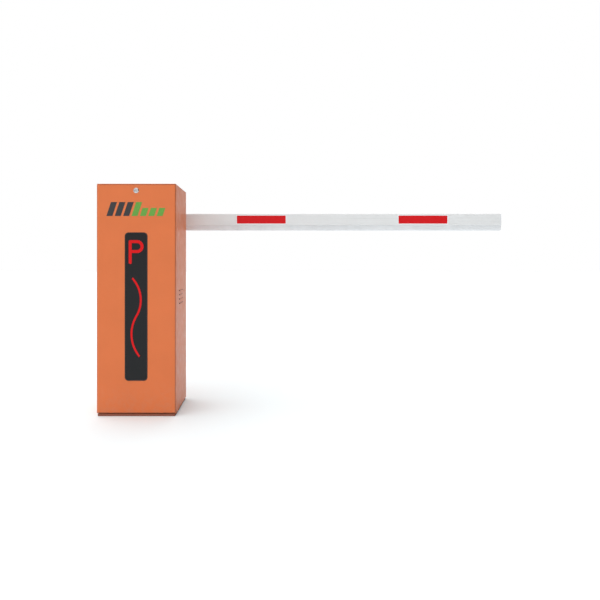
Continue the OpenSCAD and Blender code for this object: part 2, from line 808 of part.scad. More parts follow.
module motor_rotor() {
    color("darkgray") difference() {
        rod_z(worm_x, gear_y, stator_r - 1, motor_z0 + 36, motor_z1 - 36);
        rod_z(worm_x, gear_y, rotor_r + run_gap, motor_z0, motor_z1);
    }
}

module motor_housing() {
    fins = 24;
    color("dimgray") difference() {
        union() {
            rod_z(worm_x, gear_y, motor_r - 6, motor_z0 + 4, motor_z1);
            for (z = [[motor_z0, motor_z0 + bell_t], [motor_z1 - bell_t, motor_z1]])
                rod_z(worm_x, gear_y, motor_r - 2, z[0], z[1]);
            for (i = [0 : fins - 1]) translate([worm_x, gear_y, motor_z0 + bell_t - 1]) rotate(i * 360 / fins)
                translate([motor_r - 8, -1, 0]) cube([8, 2, motor_l - 2 * bell_t + 2]);
            block([worm_x - motor_r - 2, gear_y - 20, motor_z0 + 50], [worm_x - 30, gear_y + 20, motor_z0 + 122]);
        }
        rod_z(worm_x, gear_y, rotor_r + run_gap, motor_z0 - 1, motor_z1 + 1);
        rod_z(worm_x, gear_y, stator_r, motor_z0 + bell_t, motor_z1 - bell_t);
    }
}

module motor_terminal_box() {
    x1 = worm_x - motor_r - 2;
    color("black") {
        block([x1 - 30, gear_y - 24, motor_z0 + 46], [x1, gear_y + 24, motor_z0 + 126]);
        block([x1 - 34, gear_y - 26, motor_z0 + 44], [x1 - 30, gear_y + 26, motor_z0 + 128]);
        rod_z(x1 - 16, gear_y, 9, motor_z0 + 34, motor_z0 + 46);
    }
}

module hand_wheel() {
    color("crimson") difference() {
        union() {
            rod_z(worm_x, gear_y, 14, hand_z, hand_z + 22);
            translate([worm_x, gear_y, hand_z + 8]) rotate_extrude() translate([hand_r, 0]) circle(r = rim_r);
            for (a = [0, 120, 240]) translate([worm_x, gear_y, hand_z + 8]) rotate(a)
                translate([0, -4, -3]) cube([hand_r, 8, 6]);
        }
        rod_z(worm_x, gear_y, rotor_r + run_gap, hand_z + 2, hand_z + 30);
    }
}

// ---------------------------------------------------------------- springs

module spring_anchor() {
    y0 = bay_y - spring_dy - 16;
    y1 = bay_y + spring_dy + 14;
    z0 = anchor_z1 - anchor_t;
    color("gray") difference() {
        union() {
            block([-post_x, y0, anchor_z1 - 5], [post_x, y1, anchor_z1]);
            for (y = [y0, y1 - 4]) block([-post_x, y, z0 - 16], [post_x, y + 4, anchor_z1]);
        }
        for (s = [-1, 1]) rod_z(spring_x, bay_y + s * spring_dy, 5.5, z0 - 20, anchor_z1 + 1);
    }
}

eye_z = spring_z0 - eye_r + eye_wire;

module spring_eye_bolts() {
    color("silver") for (s = [-1, 1]) {
        y = bay_y + s * spring_dy;
        rod_z(spring_x, y, 5, anchor_z1 - 30, eye_z - eye_r);
        ring([spring_x, y, eye_z], eye_r, eye_wire, 0);
        hex_z(spring_x, y, 9, anchor_z1, anchor_z1 + 8);
        hex_z(spring_x, y, 9, anchor_z1 - 13, anchor_z1 - 5);
    }
}

// Wound coil from z0 to z1, as ridges of wire width on a thin sleeve that joins them
module coil(r, wire, z0, z1, pitch) {
    n = round((z1 - z0) / pitch);
    step = (z1 - z0) / n;
    rotate_extrude() polygon([[r - wire, z0],
        for (i = [0 : n - 1], p = [[r, 0.12], [r + wire, 0.32], [r + wire, 0.68], [r, 0.88]])
            [p[0], z0 + (i + p[1]) * step],
        [r - wire, z1]]);
}

module balance_springs() {
    low = eye_z + eye_r - eye_wire - wire_r - 0.1 + hook_r;
    high = spring_top + spring_pin_r + 0.1 + wire_r - hook_r;
    plug_l = 12;
    a = low + hook_r + 4;
    b = high - hook_r - 4;
    color("gray") for (s = [-1, 1]) translate([spring_x, bay_y + s * spring_dy, 0]) {
        ring([0, 0, low], hook_r, wire_r, 90);
        ring([0, 0, high], hook_r, wire_r, 0);
        rod_z(0, 0, 3, low + hook_r - 1, a + 1);
        rod_z(0, 0, 3, b - 1, high - hook_r + 1);
        for (z = [a, b - plug_l]) rod_z(0, 0, spring_d / 2 - wire_r, z, z + plug_l);
        coil(spring_d / 2 - wire_r, wire_r, a + wire_r, b - wire_r, coil_pitch);
    }
}

// ---------------------------------------------------------------- sensors and controls

sensor_y0 = front_y - 54;
sensor_x = 13;
sensor_z = shaft_z + 23;

module sensor_bracket() {
    color("lightgray") difference() {
        union() {
            block([-50, sensor_y0, shaft_z + 8], [50, sensor_y0 + 3, shaft_z + 64]);
            both_sides() block([47, sensor_y0, shaft_z + 44], [50, front_y, shaft_z + 64]);
        }
        for (s = [-1, 1]) rod_y(s * sensor_x, sensor_z, 6 + 0.2, sensor_y0 - 1, sensor_y0 + 4);
    }
}

module limit_sensors() {
    color("gold") for (s = [-1, 1]) {
        x = s * sensor_x;
        rod_y(x, sensor_z, 6, sensor_y0 - 14, front_y - bearing_t - 14);
        hex_y(x, sensor_z, 9, sensor_y0 - 4, sensor_y0);
        hex_y(x, sensor_z, 9, sensor_y0 + 3, sensor_y0 + 7);
    }
}

module control_panel() {
    color("lightgray") {
        block([-post_x - post_w + 1, panel_y, panel_z0], [post_x + post_w - 1, post_y0, panel_z1]);
        block([breaker_x0 - 8, breaker_y, toggle_z - 17], [breaker_x0 + breaker_w + 26, panel_y, toggle_z + 17]);
        for (x = [pcb_x0 + 6, pcb_x0 + pcb_w - 6], z = [pcb_z0 + 6, pcb_z0 + pcb_h - 6])
            rod_y(x, z, 3, pcb_y + pcb_t, panel_y + 1);
    }
}

module control_board() {
    color("darkgreen") difference() {
        block([pcb_x0, pcb_y, pcb_z0], [pcb_x0 + pcb_w, pcb_y + pcb_t, pcb_z0 + pcb_h]);
        for (x = [pcb_x0 + 6, pcb_x0 + pcb_w - 6], z = [pcb_z0 + 6, pcb_z0 + pcb_h - 6])
            rod_y(x, z, 1.6, pcb_y - 1, pcb_y + pcb_t + 1);
    }
}

// A part that stands on the board at x, z from its lower left corner
module on_board(x, z, w, h, d) {
    block([pcb_x0 + x, pcb_y - d, pcb_z0 + z], [pcb_x0 + x + w, pcb_y, pcb_z0 + z + h]);
}

module board_components() {
    color("darkslategray") {
        for (i = [0 : 2]) on_board(14 + 24 * i, 142, 19, 28, 16);
        on_board(92, 128, 34, 44, 30);
        on_board(20, 92, 22, 22, 3);
        on_board(56, 96, 44, 12, 4);
        on_board(2, 118, 10, 28, 10);
        on_board(pcb_w - 14, 96, 12, 26, 10);
        rod_y(pcb_x0 + 116, pcb_z0 + 64, 12, pcb_y - 34, pcb_y);
        for (i = [0 : 3]) rod_y(pcb_x0 + 24 + 16 * i, pcb_z0 + 126, 5, pcb_y - 14, pcb_y);
        // housings of the three buttons
        for (i = [0 : 2]) difference() {
            x = button_x0 + i * button_dx;
            block([x - 9, pcb_y - 12, button_z - 9], [x + 9, pcb_y, button_z + 9]);
            rod_y(x, button_z, button_r + run_gap, pcb_y - 13, pcb_y - 4);
        }
    }
}

module push_button(i) {
    color(["green", "red", "gold"][i])
        rod_y(button_x0 + i * button_dx, button_z, button_r, pcb_y - 17, pcb_y - 4 - button_travel - 0.3);
}
module raise_button() { push_button(0); }
module stop_button() { push_button(1); }
module lower_button() { push_button(2); }

module terminal_blocks() {
    pole = 6;
    poles = 20;
    d = 12;
    x0 = pcb_x0 + 9;
    color("seagreen") difference() {
        block([x0, pcb_y - d, pcb_z0 + 14], [x0 + poles * pole, pcb_y, pcb_z0 + 14 + term_h]);
        for (i = [0 : poles - 1]) {
            x = x0 + (i + 0.5) * pole;
            block([x - 1.8, pcb_y - d + 3, pcb_z0 + 13], [x + 1.8, pcb_y - 4, pcb_z0 + 19]);
            rod_y(x, pcb_z0 + 14 + term_h - 6, 1.9, pcb_y - d - 1, pcb_y - d + 3);
        }
    }
}

module power_supply() {
    slots = 7;
    y0 = panel_y - psu_d;
    color("silver") difference() {
        block([psu_x0, y0, psu_z0], [psu_x0 + psu_w, panel_y, psu_z0 + psu_h]);
        for (i = [0 : slots - 1])
            block([psu_x0 + 10, y0 - 1, psu_z0 + 14 + i * 12], [psu_x0 + psu_w - 10, y0 + 1.5, psu_z0 + 19 + i * 12]);
    }
}

module mains_breaker() {
    y0 = breaker_y - breaker_d;
    x1 = breaker_x0 + breaker_w;
    mid = breaker_x0 + breaker_w / 2;
    color("whitesmoke") difference() {
        union() {
            block([breaker_x0, y0 + 16, breaker_z0], [x1, breaker_y, breaker_z0 + breaker_h]);
            block([breaker_x0, y0, toggle_z - 22], [x1, y0 + 17, toggle_z + 22]);
        }
        rod_x(toggle_y, toggle_z, toggle_r + run_gap, mid - 9, mid + 9);
        block([mid - 9, y0 - 1, toggle_z - 5.6], [mid + 9, toggle_y, toggle_z + 5.6]);
        for (x = [breaker_x0 + 9, x1 - 9], z = [breaker_z0 + 10, breaker_z0 + breaker_h - 10])
            rod_y(x, z, 3.5, y0 + 15, y0 + 20);
    }
}

module breaker_lever() {
    mid = breaker_x0 + breaker_w / 2;
    color("royalblue") {
        rod_x(toggle_y, toggle_z, toggle_r, mid - 8.7, mid + 8.7);
        translate([0, toggle_y, toggle_z]) rotate([-25, 0, 0])
            block([mid - 7, -17, -2], [mid + 7, 0, 2]);
    }
}

module wiring_loom() {
    r = 3;
    sense_r = 2.4;
    term_x = pcb_x0 + 40;
    side_x = -post_x - 8;
    low_z = pcb_z0 - 14;
    ty = pcb_y - 6;
    box_x = worm_x - motor_r - 2 - 16;
    sense_x = -96;
    color("black") {
        // board to motor
        wire_run([[term_x, ty, pcb_z0 + 14], [term_x, ty, low_z], [side_x, ty, low_z], [side_x, ty, motor_z0 - 10],
            [box_x, ty, motor_z0 - 10], [box_x, gear_y, motor_z0 - 10], [box_x, gear_y, motor_z0 + 34]], r);
        // board to sensors
        wire_run([[pcb_x0 + 2, ty, pcb_z0 + 132], [-post_x, ty, pcb_z0 + 132], [-post_x, -20, pcb_z0 + 132],
            [-post_x, -20, motor_z0 + 30], [sense_x, -20, motor_z0 + 30], [sense_x, -20, sensor_z],
            [sense_x, sensor_y0 - 14 - sense_r, sensor_z], [sensor_x, sensor_y0 - 14 - sense_r, sensor_z]], sense_r);
        // breaker to power supply, and power supply to board
        for (x = [9, breaker_w - 9])
            strut([breaker_x0 + x, panel_y - 16, breaker_z0 + breaker_h], [breaker_x0 + x, panel_y - 16, psu_z0], 2);
        strut([psu_x0, pcb_y - 5, psu_z0 + 12], [pcb_x0 + pcb_w - 2, pcb_y - 5, psu_z0 + 12], 2);
    }
}

// ---------------------------------------------------------------- boom

// Section of the tube, in Y and Z about its centre, grown by g
module tube_section(g) { round_rect(boom_t + 2 * g, boom_h + 2 * g, boom_round + g); }

module bumper_section(hollow) {
    z1 = -boom_h / 2 - 0.1;
    z0 = -boom_h / 2 - bumper_h;
    r = 7;
    difference() {
        union() {
            translate([0, z1 - 2 * r]) translate([-bumper_w / 2, 0]) square([bumper_w, 2 * r]);
            translate([0, (z0 + z1) / 2]) round_rect(bumper_w, z1 - z0, r);
            translate([-groove_w / 2 + 0.2, z1 - 1]) square([groove_w - 0.4, boom_wall + 2]);
            translate([-groove_in_w / 2 + 0.3, -boom_h / 2 + boom_wall + 0.2])
                square([groove_in_w - 0.6, groove_in_h - 0.5]);
        }
        if (hollow) translate([0, (z0 + z1) / 2 - 1]) round_rect(bumper_w - 8, z1 - z0 - 8, r - 3);
    }
}

module boom_tube() {
    color("gainsboro") translate([0, boom_y, shaft_z]) along_x(-boom_tail, boom_reach - cap_t) difference() {
        union() {
            difference() {
                tube_section(0);
                tube_section(-boom_wall);
            }
            translate([-groove_in_w / 2 - boom_wall, -boom_h / 2 + 1])
                square([groove_in_w + 2 * boom_wall, groove_top + boom_h / 2 - 1]);
        }
        translate([-groove_w / 2, -boom_h / 2 - 1]) square([groove_w, boom_wall + 2]);
        translate([-groove_in_w / 2, -boom_h / 2 + boom_wall]) square([groove_in_w, groove_in_h]);
    }
}

module boom_bumper() {
    color("silver") translate([0, boom_y, shaft_z]) along_x(bumper_x0, boom_reach - cap_t) bumper_section(true);
}

module boom_end_caps() {
    w = boom_t - 2 * boom_wall - 2 * fit_gap;
    z0 = groove_top + fit_gap;
    z1 = boom_h / 2 - boom_wall - fit_gap;
    color("dimgray") translate([0, boom_y, shaft_z]) {
        along_x(boom_reach - cap_t, boom_reach) { tube_section(0); bumper_section(false); }
        along_x(-boom_tail - cap_t, -boom_tail) tube_section(0);
        for (x = [boom_reach - cap_t - 15, -boom_tail])
            along_x(x, x + 15) translate([0, (z0 + z1) / 2]) round_rect(w, z1 - z0, 2);
    }
}

module boom_reflectors() {
    color("red") for (i = [0, 1], y = [boom_y0 - tape_t, boom_y1])
        along_y(y, y + tape_t) translate([boom_reach - tape_end - tape_l / 2 - i * tape_pitch, shaft_z])
            round_rect(tape_l, tape_h, 3);
}

module clamp_holes() {
    for (sx = [-1, 1], sz = [-1, 1])
        rod_y(sx * clamp_bolt_x, shaft_z + sz * clamp_bolt_z, 5.5, bracket_y0 - 5, boom_y1 + 20);
}

module arm_bracket() {
    color("dimgray") difference() {
        union() {
            along_y(bracket_y0, bracket_y0 + bracket_t) translate([0, shaft_z]) round_rect(bracket_w, clamp_h, 8);
            rod_y(0, shaft_z, flange_r, bracket_y0 - flange_t, bracket_y0 + 1);
        }
        clamp_holes();
    }
}

module clamp_pads() {
    color("black") for (y = [boom_y0 - pad_t, boom_y1])
        along_y(y, y + pad_t) translate([0, shaft_z]) round_rect(bracket_w - 20, boom_h - 4, 3);
}

module clamp_plate() {
    y = boom_y1 + pad_t;
    color("dimgray") difference() {
        along_y(y, y + clamp_t) translate([0, shaft_z]) round_rect(bracket_w, clamp_h, 8);
        clamp_holes();
    }
}

module clamp_bolts() {
    y1 = boom_y1 + pad_t + clamp_t;
    color("lightgray") for (sx = [-1, 1], sz = [-1, 1]) {
        x = sx * clamp_bolt_x;
        z = shaft_z + sz * clamp_bolt_z;
        rod_y(x, z, 5, bracket_y0 - 1, y1 + 11);
        hex_y(x, z, 9, bracket_y0 - 6.5, bracket_y0);
        hex_y(x, z, 9, y1, y1 + 8);
    }
}

// ---------------------------------------------------------------- door and sign

// Side view of the door, inset by t; its foot is folded round the hinge's axis
module door_profile(t) {
    r = foot_r - t;
    y1 = door_y1 + (t > 0 ? 1 : 0);
    translate([yf + t + r, door_z0 + t]) square([y1 - yf - t - r, door_z1 - door_z0 - 2 * t]);
    translate([yf + t, door_z0 + t + r]) square([r + 1, door_z1 - door_z0 - 2 * t - r]);
    translate([yf + t + r, door_z0 + t + r]) circle(r = r);
}

module door_solid(t) {
    intersection() {
        along_z(door_z0 + t, door_z1 - t)
            front_rounded([-hx + t, yf + t], [hx - t, door_y1 + (t > 0 ? 1 : 0)], corner_r - t);
        along_x(-hx + t, hx - t) door_profile(t);
    }
}

module front_door() {
    x0 = hinge_x - 4 - knuckle_l;
    color("coral") difference() {
        union() {
            difference() {
                door_solid(0);
                door_solid(sheet);
            }
            // knuckles that turn on the hinge brackets' pins
            both_sides() along_x(x0, x0 + knuckle_l) {
                translate([hinge_y, hinge_z]) circle(r = lug_r);
                translate([skin_y - 1, hinge_z - lug_r]) square([hinge_y - skin_y + 1, 2 * lug_r]);
                translate([hinge_y - 3, door_z0 + 1]) square([6, foot_r - 1]);
            }
        }
        along_y(yf - 1, skin_y + 1) translate([0, window_z]) round_rect(window_w, window_h, window_r);
        rod_y(0, lock_z, barrel_r + fit_gap, yf - 1, skin_y + 1);
        both_sides() {
            rod_x(hinge_y, hinge_z, pin_r + run_gap, x0 - 1, x0 + knuckle_l + 1);
            block([hinge_x - 1.5, hinge_y - lug_r - 0.4, door_z0 - 1],
                  [hinge_x + lug_t + 1.5, door_y1 + 1, door_z0 + sheet + 0.2]);
        }
    }
}

module window_bezel() {
    color("black") difference() {
        union() {
            along_y(yf - 0.8, skin_y) translate([0, window_z])
                round_rect(window_w - 2 * fit_gap, window_h - 2 * fit_gap, window_r - fit_gap);
            along_y(skin_y, skin_y + 1.5) translate([0, window_z])
                round_rect(window_w + 2 * bezel_lap, window_h + 2 * bezel_lap, window_r + bezel_lap);
        }
        along_y(yf - 2, skin_y + 3) translate([0, window_z])
            round_rect(window_w - 2 * bezel_w, window_h - 2 * bezel_w, window_r - bezel_w);
    }
}

// The lit letter, grown by g: a stem and a bowl
module letter(g) {
    w = stroke + 2 * g;
    r = letter_h * 0.27 - stroke / 2;
    x0 = -letter_w / 2 + stroke / 2;
    xr = letter_w / 2 - stroke / 2 - r;
    z1 = letter_z1 - stroke / 2;
    bar([x0, letter_z1 - letter_h + stroke / 2], [x0, z1], w);
    bar([x0, z1], [xr, z1], w);
    bar([x0, z1 - 2 * r], [xr, z1 - 2 * r], w);
    arc_stroke([xr, z1], [xr + r, z1 - r], [xr, z1 - 2 * r], w);
}

function curve_point(i) = [curve_x[i], window_z + curve_z[i]];

// The lit curve, grown by g: two arcs that bend opposite ways
module sign_curve(g) {
    arc_stroke(curve_point(0), curve_point(1), curve_point(2), curve_w + 2 * g);
    arc_stroke(curve_point(2), curve_point(3), curve_point(4), curve_w + 2 * g);
}

module window_pane() {
    g = bezel_w + pane_gap;
    color("darkslategray") difference() {
        along_y(yf - 0.3, yf - 0.3 + pane_t) translate([0, window_z])
            round_rect(window_w - 2 * g, window_h - 2 * g, window_r - g);
        along_y(yf - 1, yf + pane_t) { letter(pane_gap); sign_curve(pane_gap); }
    }
}

module led_symbols() {
    color("red") along_y(yf - 0.5, yf - 0.3 + pane_t) { letter(0); sign_curve(0); }
}

module led_board() {
    rows = 5;
    pitch = (board_h - 30) / (rows - 1);
    color("darkgreen") {
        along_y(board_y, board_y + board_t) translate([0, window_z]) round_rect(board_w, board_h, 3);
        for (s = [-1, 1], i = [0 : rows - 1])
            rod_y(s * stud_x, window_z - board_h / 2 + 15 + i * pitch, 2.5, skin_y, board_y);
        // LEDs in rows behind the lit shapes, and the drivers on the back
        for (x = [-24 : 16 : 24], z = [letter_z1 - letter_h + 6 : 15 : letter_z1])
            block([x - 2, board_y - 1.5, z - 2], [x + 2, board_y, z + 2]);
        for (i = [0 : 16]) let (z = window_z + curve_z[0] - 21 * i)
            block([-24, board_y - 1.5, z - 2], [24, board_y, z + 2]);
        for (z = [-290, -70, 150])
            block([-14, board_y + board_t, window_z + z], [14, board_y + board_t + 4, window_z + z + 22]);
    }
}

// Foam strips that the rain lips press on
module door_seals() {
    x = hx - jamb_w + sheet / 2;
    color("black") for (s = [-1, 1])
        block([s * x - 5, skin_y, 46], [s * x + 5, skin_y + 6, lock_z - 31]);
}

module lock_barrel() {
    color("silver") difference() {
        union() {
            rod_y(0, lock_z, lock_d / 2, yf - 3, yf);
            rod_y(0, lock_z, barrel_r, yf - 1, barrel_y1);
            hex_y(0, lock_z, 13, skin_y, skin_y + 5);
        }
        rod_y(0, lock_z, plug_r + run_gap, yf - 4, barrel_y1 + 1);
    }
}

// Key plug with its cam; the cam lies sideways when the door is free
module lock_plug() {
    color("gray") difference() {
        union() {
            rod_y(0, lock_z, plug_r, yf - 2.5, cam_y + cam_t);
            rod_y(0, lock_z, plug_r + 2, barrel_y1 + 0.3, cam_y + cam_t);
            along_y(cam_y, cam_y + cam_t) translate([0, lock_z]) bar([0, 0], [cam_l - 6, 0], 12);
        }
        block([-0.8, yf - 3, lock_z - 3.5], [0.8, yf + 12, lock_z + 3.5]);
    }
}

// ---------------------------------------------------------------- nodes

base_plate();
cable_grommet();
cabinet_shell();
roof_cover();
hinge_brackets();
frame_posts();
drive_frame();
hex_bolts();
bearing_housings();
shaft_seal();
stop_block();
rubber_buffers();
gearbox_housing();
gearbox_cover();
motor_housing();
motor_terminal_box();
spring_anchor();
spring_eye_bolts();
balance_springs();
sensor_bracket();
limit_sensors();
control_panel();
control_board();
board_components();
terminal_blocks();
power_supply();
mains_breaker();
wiring_loom();
breaker_lever();
raise_button();
stop_button();
lower_button();
main_shaft();
bearing_inserts();
rocker_lever();
lever_pins();
position_disc();
arm_bracket();
clamp_pads();
clamp_plate();
clamp_bolts();
boom_tube();
boom_bumper();
boom_end_caps();
boom_reflectors();
output_shaft();
worm_wheel();
crank_arm();
connecting_rod();
worm_shaft();
motor_rotor();
hand_wheel();
front_door();
window_bezel();
window_pane();
led_symbols();
led_board();
door_seals();
lock_barrel();
lock_plug();
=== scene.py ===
"""Looks of the parking barrier gate: materials, small visible pieces, floor, light and camera."""
import json
import math

import bmesh
import bpy
from mathutils import Matrix, Vector

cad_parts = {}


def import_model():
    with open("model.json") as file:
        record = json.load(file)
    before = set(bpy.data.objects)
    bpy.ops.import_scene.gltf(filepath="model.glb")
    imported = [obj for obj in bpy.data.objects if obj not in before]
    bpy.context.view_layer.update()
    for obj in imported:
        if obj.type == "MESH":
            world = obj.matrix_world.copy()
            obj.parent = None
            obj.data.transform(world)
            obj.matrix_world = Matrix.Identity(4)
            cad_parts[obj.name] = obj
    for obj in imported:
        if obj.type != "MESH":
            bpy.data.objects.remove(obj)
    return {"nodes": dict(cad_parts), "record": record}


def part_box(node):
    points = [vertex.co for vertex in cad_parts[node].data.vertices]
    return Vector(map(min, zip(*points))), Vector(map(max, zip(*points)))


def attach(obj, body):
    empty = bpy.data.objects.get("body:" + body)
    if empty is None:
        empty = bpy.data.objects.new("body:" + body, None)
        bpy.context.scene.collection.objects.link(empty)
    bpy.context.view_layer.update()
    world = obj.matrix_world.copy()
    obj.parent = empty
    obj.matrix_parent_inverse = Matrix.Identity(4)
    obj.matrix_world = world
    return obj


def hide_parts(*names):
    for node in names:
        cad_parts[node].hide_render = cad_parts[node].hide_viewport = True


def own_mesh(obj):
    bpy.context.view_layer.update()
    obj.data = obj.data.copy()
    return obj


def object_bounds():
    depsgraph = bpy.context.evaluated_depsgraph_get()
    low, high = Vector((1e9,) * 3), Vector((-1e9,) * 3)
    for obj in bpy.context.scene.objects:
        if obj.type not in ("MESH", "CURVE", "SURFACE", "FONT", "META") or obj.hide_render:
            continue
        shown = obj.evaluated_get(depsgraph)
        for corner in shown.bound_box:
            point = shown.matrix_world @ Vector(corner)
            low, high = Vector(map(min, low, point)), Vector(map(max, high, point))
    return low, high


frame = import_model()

CAD_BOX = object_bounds()
MM = 0.001


def box(node):
    """Lowest and highest corner of a CAD node, as vectors in metres."""
    low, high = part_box(node)
    return Vector(low), Vector(high)


# ---------------------------------------------------------------- camera

PICTURE = 600.0                       # width of the picture, px
FOCAL_PX = 533.4                      # focal length, px
SENSOR = 36.0                         # width of the sensor, mm
EYE = (0.56, -2.443, 0.668)           # in front of the door and to its right, at two thirds of its height
SHIFT = (0.056, -0.065)               # of the picture's width: keeps the uprights vertical

camera_data = bpy.data.cameras.new("camera")
camera_data.sensor_width = SENSOR
camera_data.lens = FOCAL_PX / PICTURE * SENSOR
camera_data.shift_x, camera_data.shift_y = SHIFT
camera = bpy.data.objects.new("camera", camera_data)
camera.location = EYE
camera.rotation_euler = (math.radians(90), 0, 0)
bpy.context.scene.collection.objects.link(camera)
bpy.context.scene.camera = camera


# ---------------------------------------------------------------- materials

# The Mix node repeats the names of its sockets for each data type, so its colours go by number
MIX_COLOUR_A, MIX_COLOUR_B, MIX_COLOUR_OUT = 6, 7, 2


class Nodes:
    """A short way to build a material's node tree."""

    def __init__(self, name):
        self.material = bpy.data.materials.new(name)
        self.material.use_nodes = True
        self.tree = self.material.node_tree
        self.shader = self.tree.nodes["Principled BSDF"]
        self.coordinates = self.add("ShaderNodeTexCoord")
        self.where = self.coordinates.outputs["Object"]

    def add(self, kind, **values):
        node = self.tree.nodes.new(kind)
        for key, value in values.items():
            setattr(node, key, value)
        return node

    def link(self, source, target):
        self.tree.links.new(source, target)

    def feed(self, socket, value):
        if isinstance(value, bpy.types.NodeSocket):
            self.link(value, socket)
        else:
            socket.default_value = value

    def stretched(self, scale, turn=(0, 0, 0)):
        """The object's coordinates, scaled (and turned) before a texture reads them."""
        mapping = self.add("ShaderNodeMapping")
        mapping.inputs["Scale"].default_value = scale
        mapping.inputs["Rotation"].default_value = turn
        self.link(self.where, mapping.inputs["Vector"])
        return mapping.outputs["Vector"]

    def noise(self, scale, detail=3.0, rough=0.55, vector=None):
        """Cloudy noise, about 0.3 to 0.7."""
        node = self.add("ShaderNodeTexNoise")
        node.inputs["Scale"].default_value = scale
        node.inputs["Detail"].default_value = detail
        node.inputs["Roughness"].default_value = rough
        self.link(vector or self.where, node.inputs["Vector"])
        return node.outputs["Fac"]

    def cells(self, scale, feature="F1", randomness=1.0, vector=None):
        """Cells of a Voronoi pattern: distance from their middles, or from their walls."""
        node = self.add("ShaderNodeTexVoronoi", feature=feature)
        node.inputs["Scale"].default_value = scale
        node.inputs["Randomness"].default_value = randomness
        self.link(vector or self.where, node.inputs["Vector"])
        return node.outputs["Distance"]

    def ramp(self, value, low, high, to_low=0.0, to_high=1.0):
        """value from low to high, mapped to to_low to to_high and held there."""
        node = self.add("ShaderNodeMapRange")
        for name, v in (("From Min", low), ("From Max", high), ("To Min", to_low), ("To Max", to_high)):
            node.inputs[name].default_value = v
        self.link(value, node.inputs["Value"])
        return node.outputs["Result"]

    def math(self, operation, a, b=0.0):
        node = self.add("ShaderNodeMath", operation=operation)
        self.feed(node.inputs[0], a)
        self.feed(node.inputs[1], b)
        return node.outputs["Value"]

    def mix(self, factor, a, b):
        """Colour a where factor is 0, colour b where it is 1."""
        node = self.add("ShaderNodeMix", data_type="RGBA")
        self.feed(node.inputs["Factor"], factor)
        self.feed(node.inputs[MIX_COLOUR_A], a)
        self.feed(node.inputs[MIX_COLOUR_B], b)
        return node.outputs[MIX_COLOUR_OUT]

    def axis(self, letter):
        node = self.add("ShaderNodeSeparateXYZ")
        self.link(self.where, node.inputs["Vector"])
        return node.outputs[letter]

    def bump(self, height, strength, distance, below=None):
        node = self.add("ShaderNodeBump")
        node.inputs["Strength"].default_value = strength
        node.inputs["Distance"].default_value = distance
        self.link(height, node.inputs["Height"])
        if below is not None:
            self.link(below, node.inputs["Normal"])
        return node.outputs["Normal"]

    def rounded(self, radius):
        """Normal with the edges rounded off, for light only."""
        node = self.add("ShaderNodeBevel", samples=4)
        node.inputs["Radius"].default_value = radius
        return node.outputs["Normal"]

    def fold(self):
        """1 where a face is rounded between two directions, 0 where it faces along an axis; the mask of the
        painted fold shade.
        """
        split = self.add("ShaderNodeSeparateXYZ")
        self.link(self.coordinates.outputs["Normal"], split.inputs["Vector"])
        x, y, z = (self.math("ABSOLUTE", split.outputs[letter]) for letter in "XYZ")
        most = self.math("MAXIMUM", self.math("MAXIMUM", x, y), z)
        return self.ramp(self.math("SUBTRACT", 1.0, most), 0.01, 0.12)

    def edge(self, radius, low=0.02, high=0.25):
        """1 along sharp edges, 0 on flat faces: how far the rounded normal leaves the true one."""
        geometry = self.add("ShaderNodeNewGeometry")
        dot = self.add("ShaderNodeVectorMath", operation="DOT_PRODUCT")
        self.link(self.rounded(radius), dot.inputs[0])
        self.link(geometry.outputs["Normal"], dot.inputs[1])
        return self.ramp(self.math("SUBTRACT", 1.0, dot.outputs["Value"]), low, high)

    def socket(self, name, value):
        self.feed(self.shader.inputs[name], value)


def rgb(r, g, b):
    """Linear colour from screen values of 0 to 255."""
    return tuple(((c / 255 + 0.055) / 1.055) ** 2.4 if c > 10 else c / 255 / 12.92
                 for c in (r, g, b)) + (1.0,)


def darker(colour, factor):
    """Colour times factor (a factor above 1 makes it lighter)."""
    return tuple(c * factor for c in colour[:3]) + (1.0,)


def blend(a, b, t):
    """Colour between a (t = 0) and b (t = 1)."""
    return tuple(x * (1 - t) + y * t for x, y in zip(a, b))


STEEL_UNDER_PAINT = rgb(150, 148, 145)
TARNISH = rgb(90, 84, 76)
DUST = rgb(176, 150, 128)


def powder_coat(name, colour, rough=0.32, coat=0.0, coat_rough=0.08, peel=0.25, wear=0.25,
                dust=0.0, spread=0.06, specular=0.5, fold_shade=0.0):
    """Baked paint on sheet steel: orange-peel skin, faint clouds, worn edges, dust near the floor, and painted
    shade darkening the rounded folds where fold_shade is set.
    """
    m = Nodes(name)
    clouds = m.noise(7.0, 4.0)
    tone = m.mix(m.ramp(clouds, 0.3, 0.7), darker(colour, 1 - spread), darker(colour, 1 + spread))
    scuffs = m.ramp(m.noise(90.0, 6.0, 0.7), 0.56, 0.72)
    edges = m.edge(0.0012)
    worn = m.math("MULTIPLY", m.math("MULTIPLY", edges, scuffs), wear)
    tone = m.mix(worn, tone, STEEL_UNDER_PAINT)
    # Painted shade: rounded folds between faces darken towards 0.42 of the colour, standing in for the shade
    # along the corners.
    if fold_shade:
        tone = m.mix(m.math("MULTIPLY", m.fold(), fold_shade), tone, darker(colour, 0.42))
    if dust:
        foot = m.ramp(m.axis("Z"), 0.02, 0.16, 1.0, 0.0)
        specks = m.ramp(m.noise(55.0, 5.0, 0.6), 0.4, 0.7)
        tone = m.mix(m.math("MULTIPLY", m.math("MULTIPLY", foot, specks), dust), tone, DUST)
    m.socket("Base Color", tone)
    m.socket("Roughness", m.ramp(m.noise(30.0, 4.0), 0.3, 0.7, rough * 0.85, rough * 1.2))
    m.socket("Specular IOR Level", specular)
    m.socket("Coat Weight", coat)
    m.socket("Coat Roughness", coat_rough)
    skin = m.bump(m.noise(420.0, 2.0, 0.4), peel, 0.00012, m.rounded(0.0009))
    m.socket("Normal", skin)
    return m.material


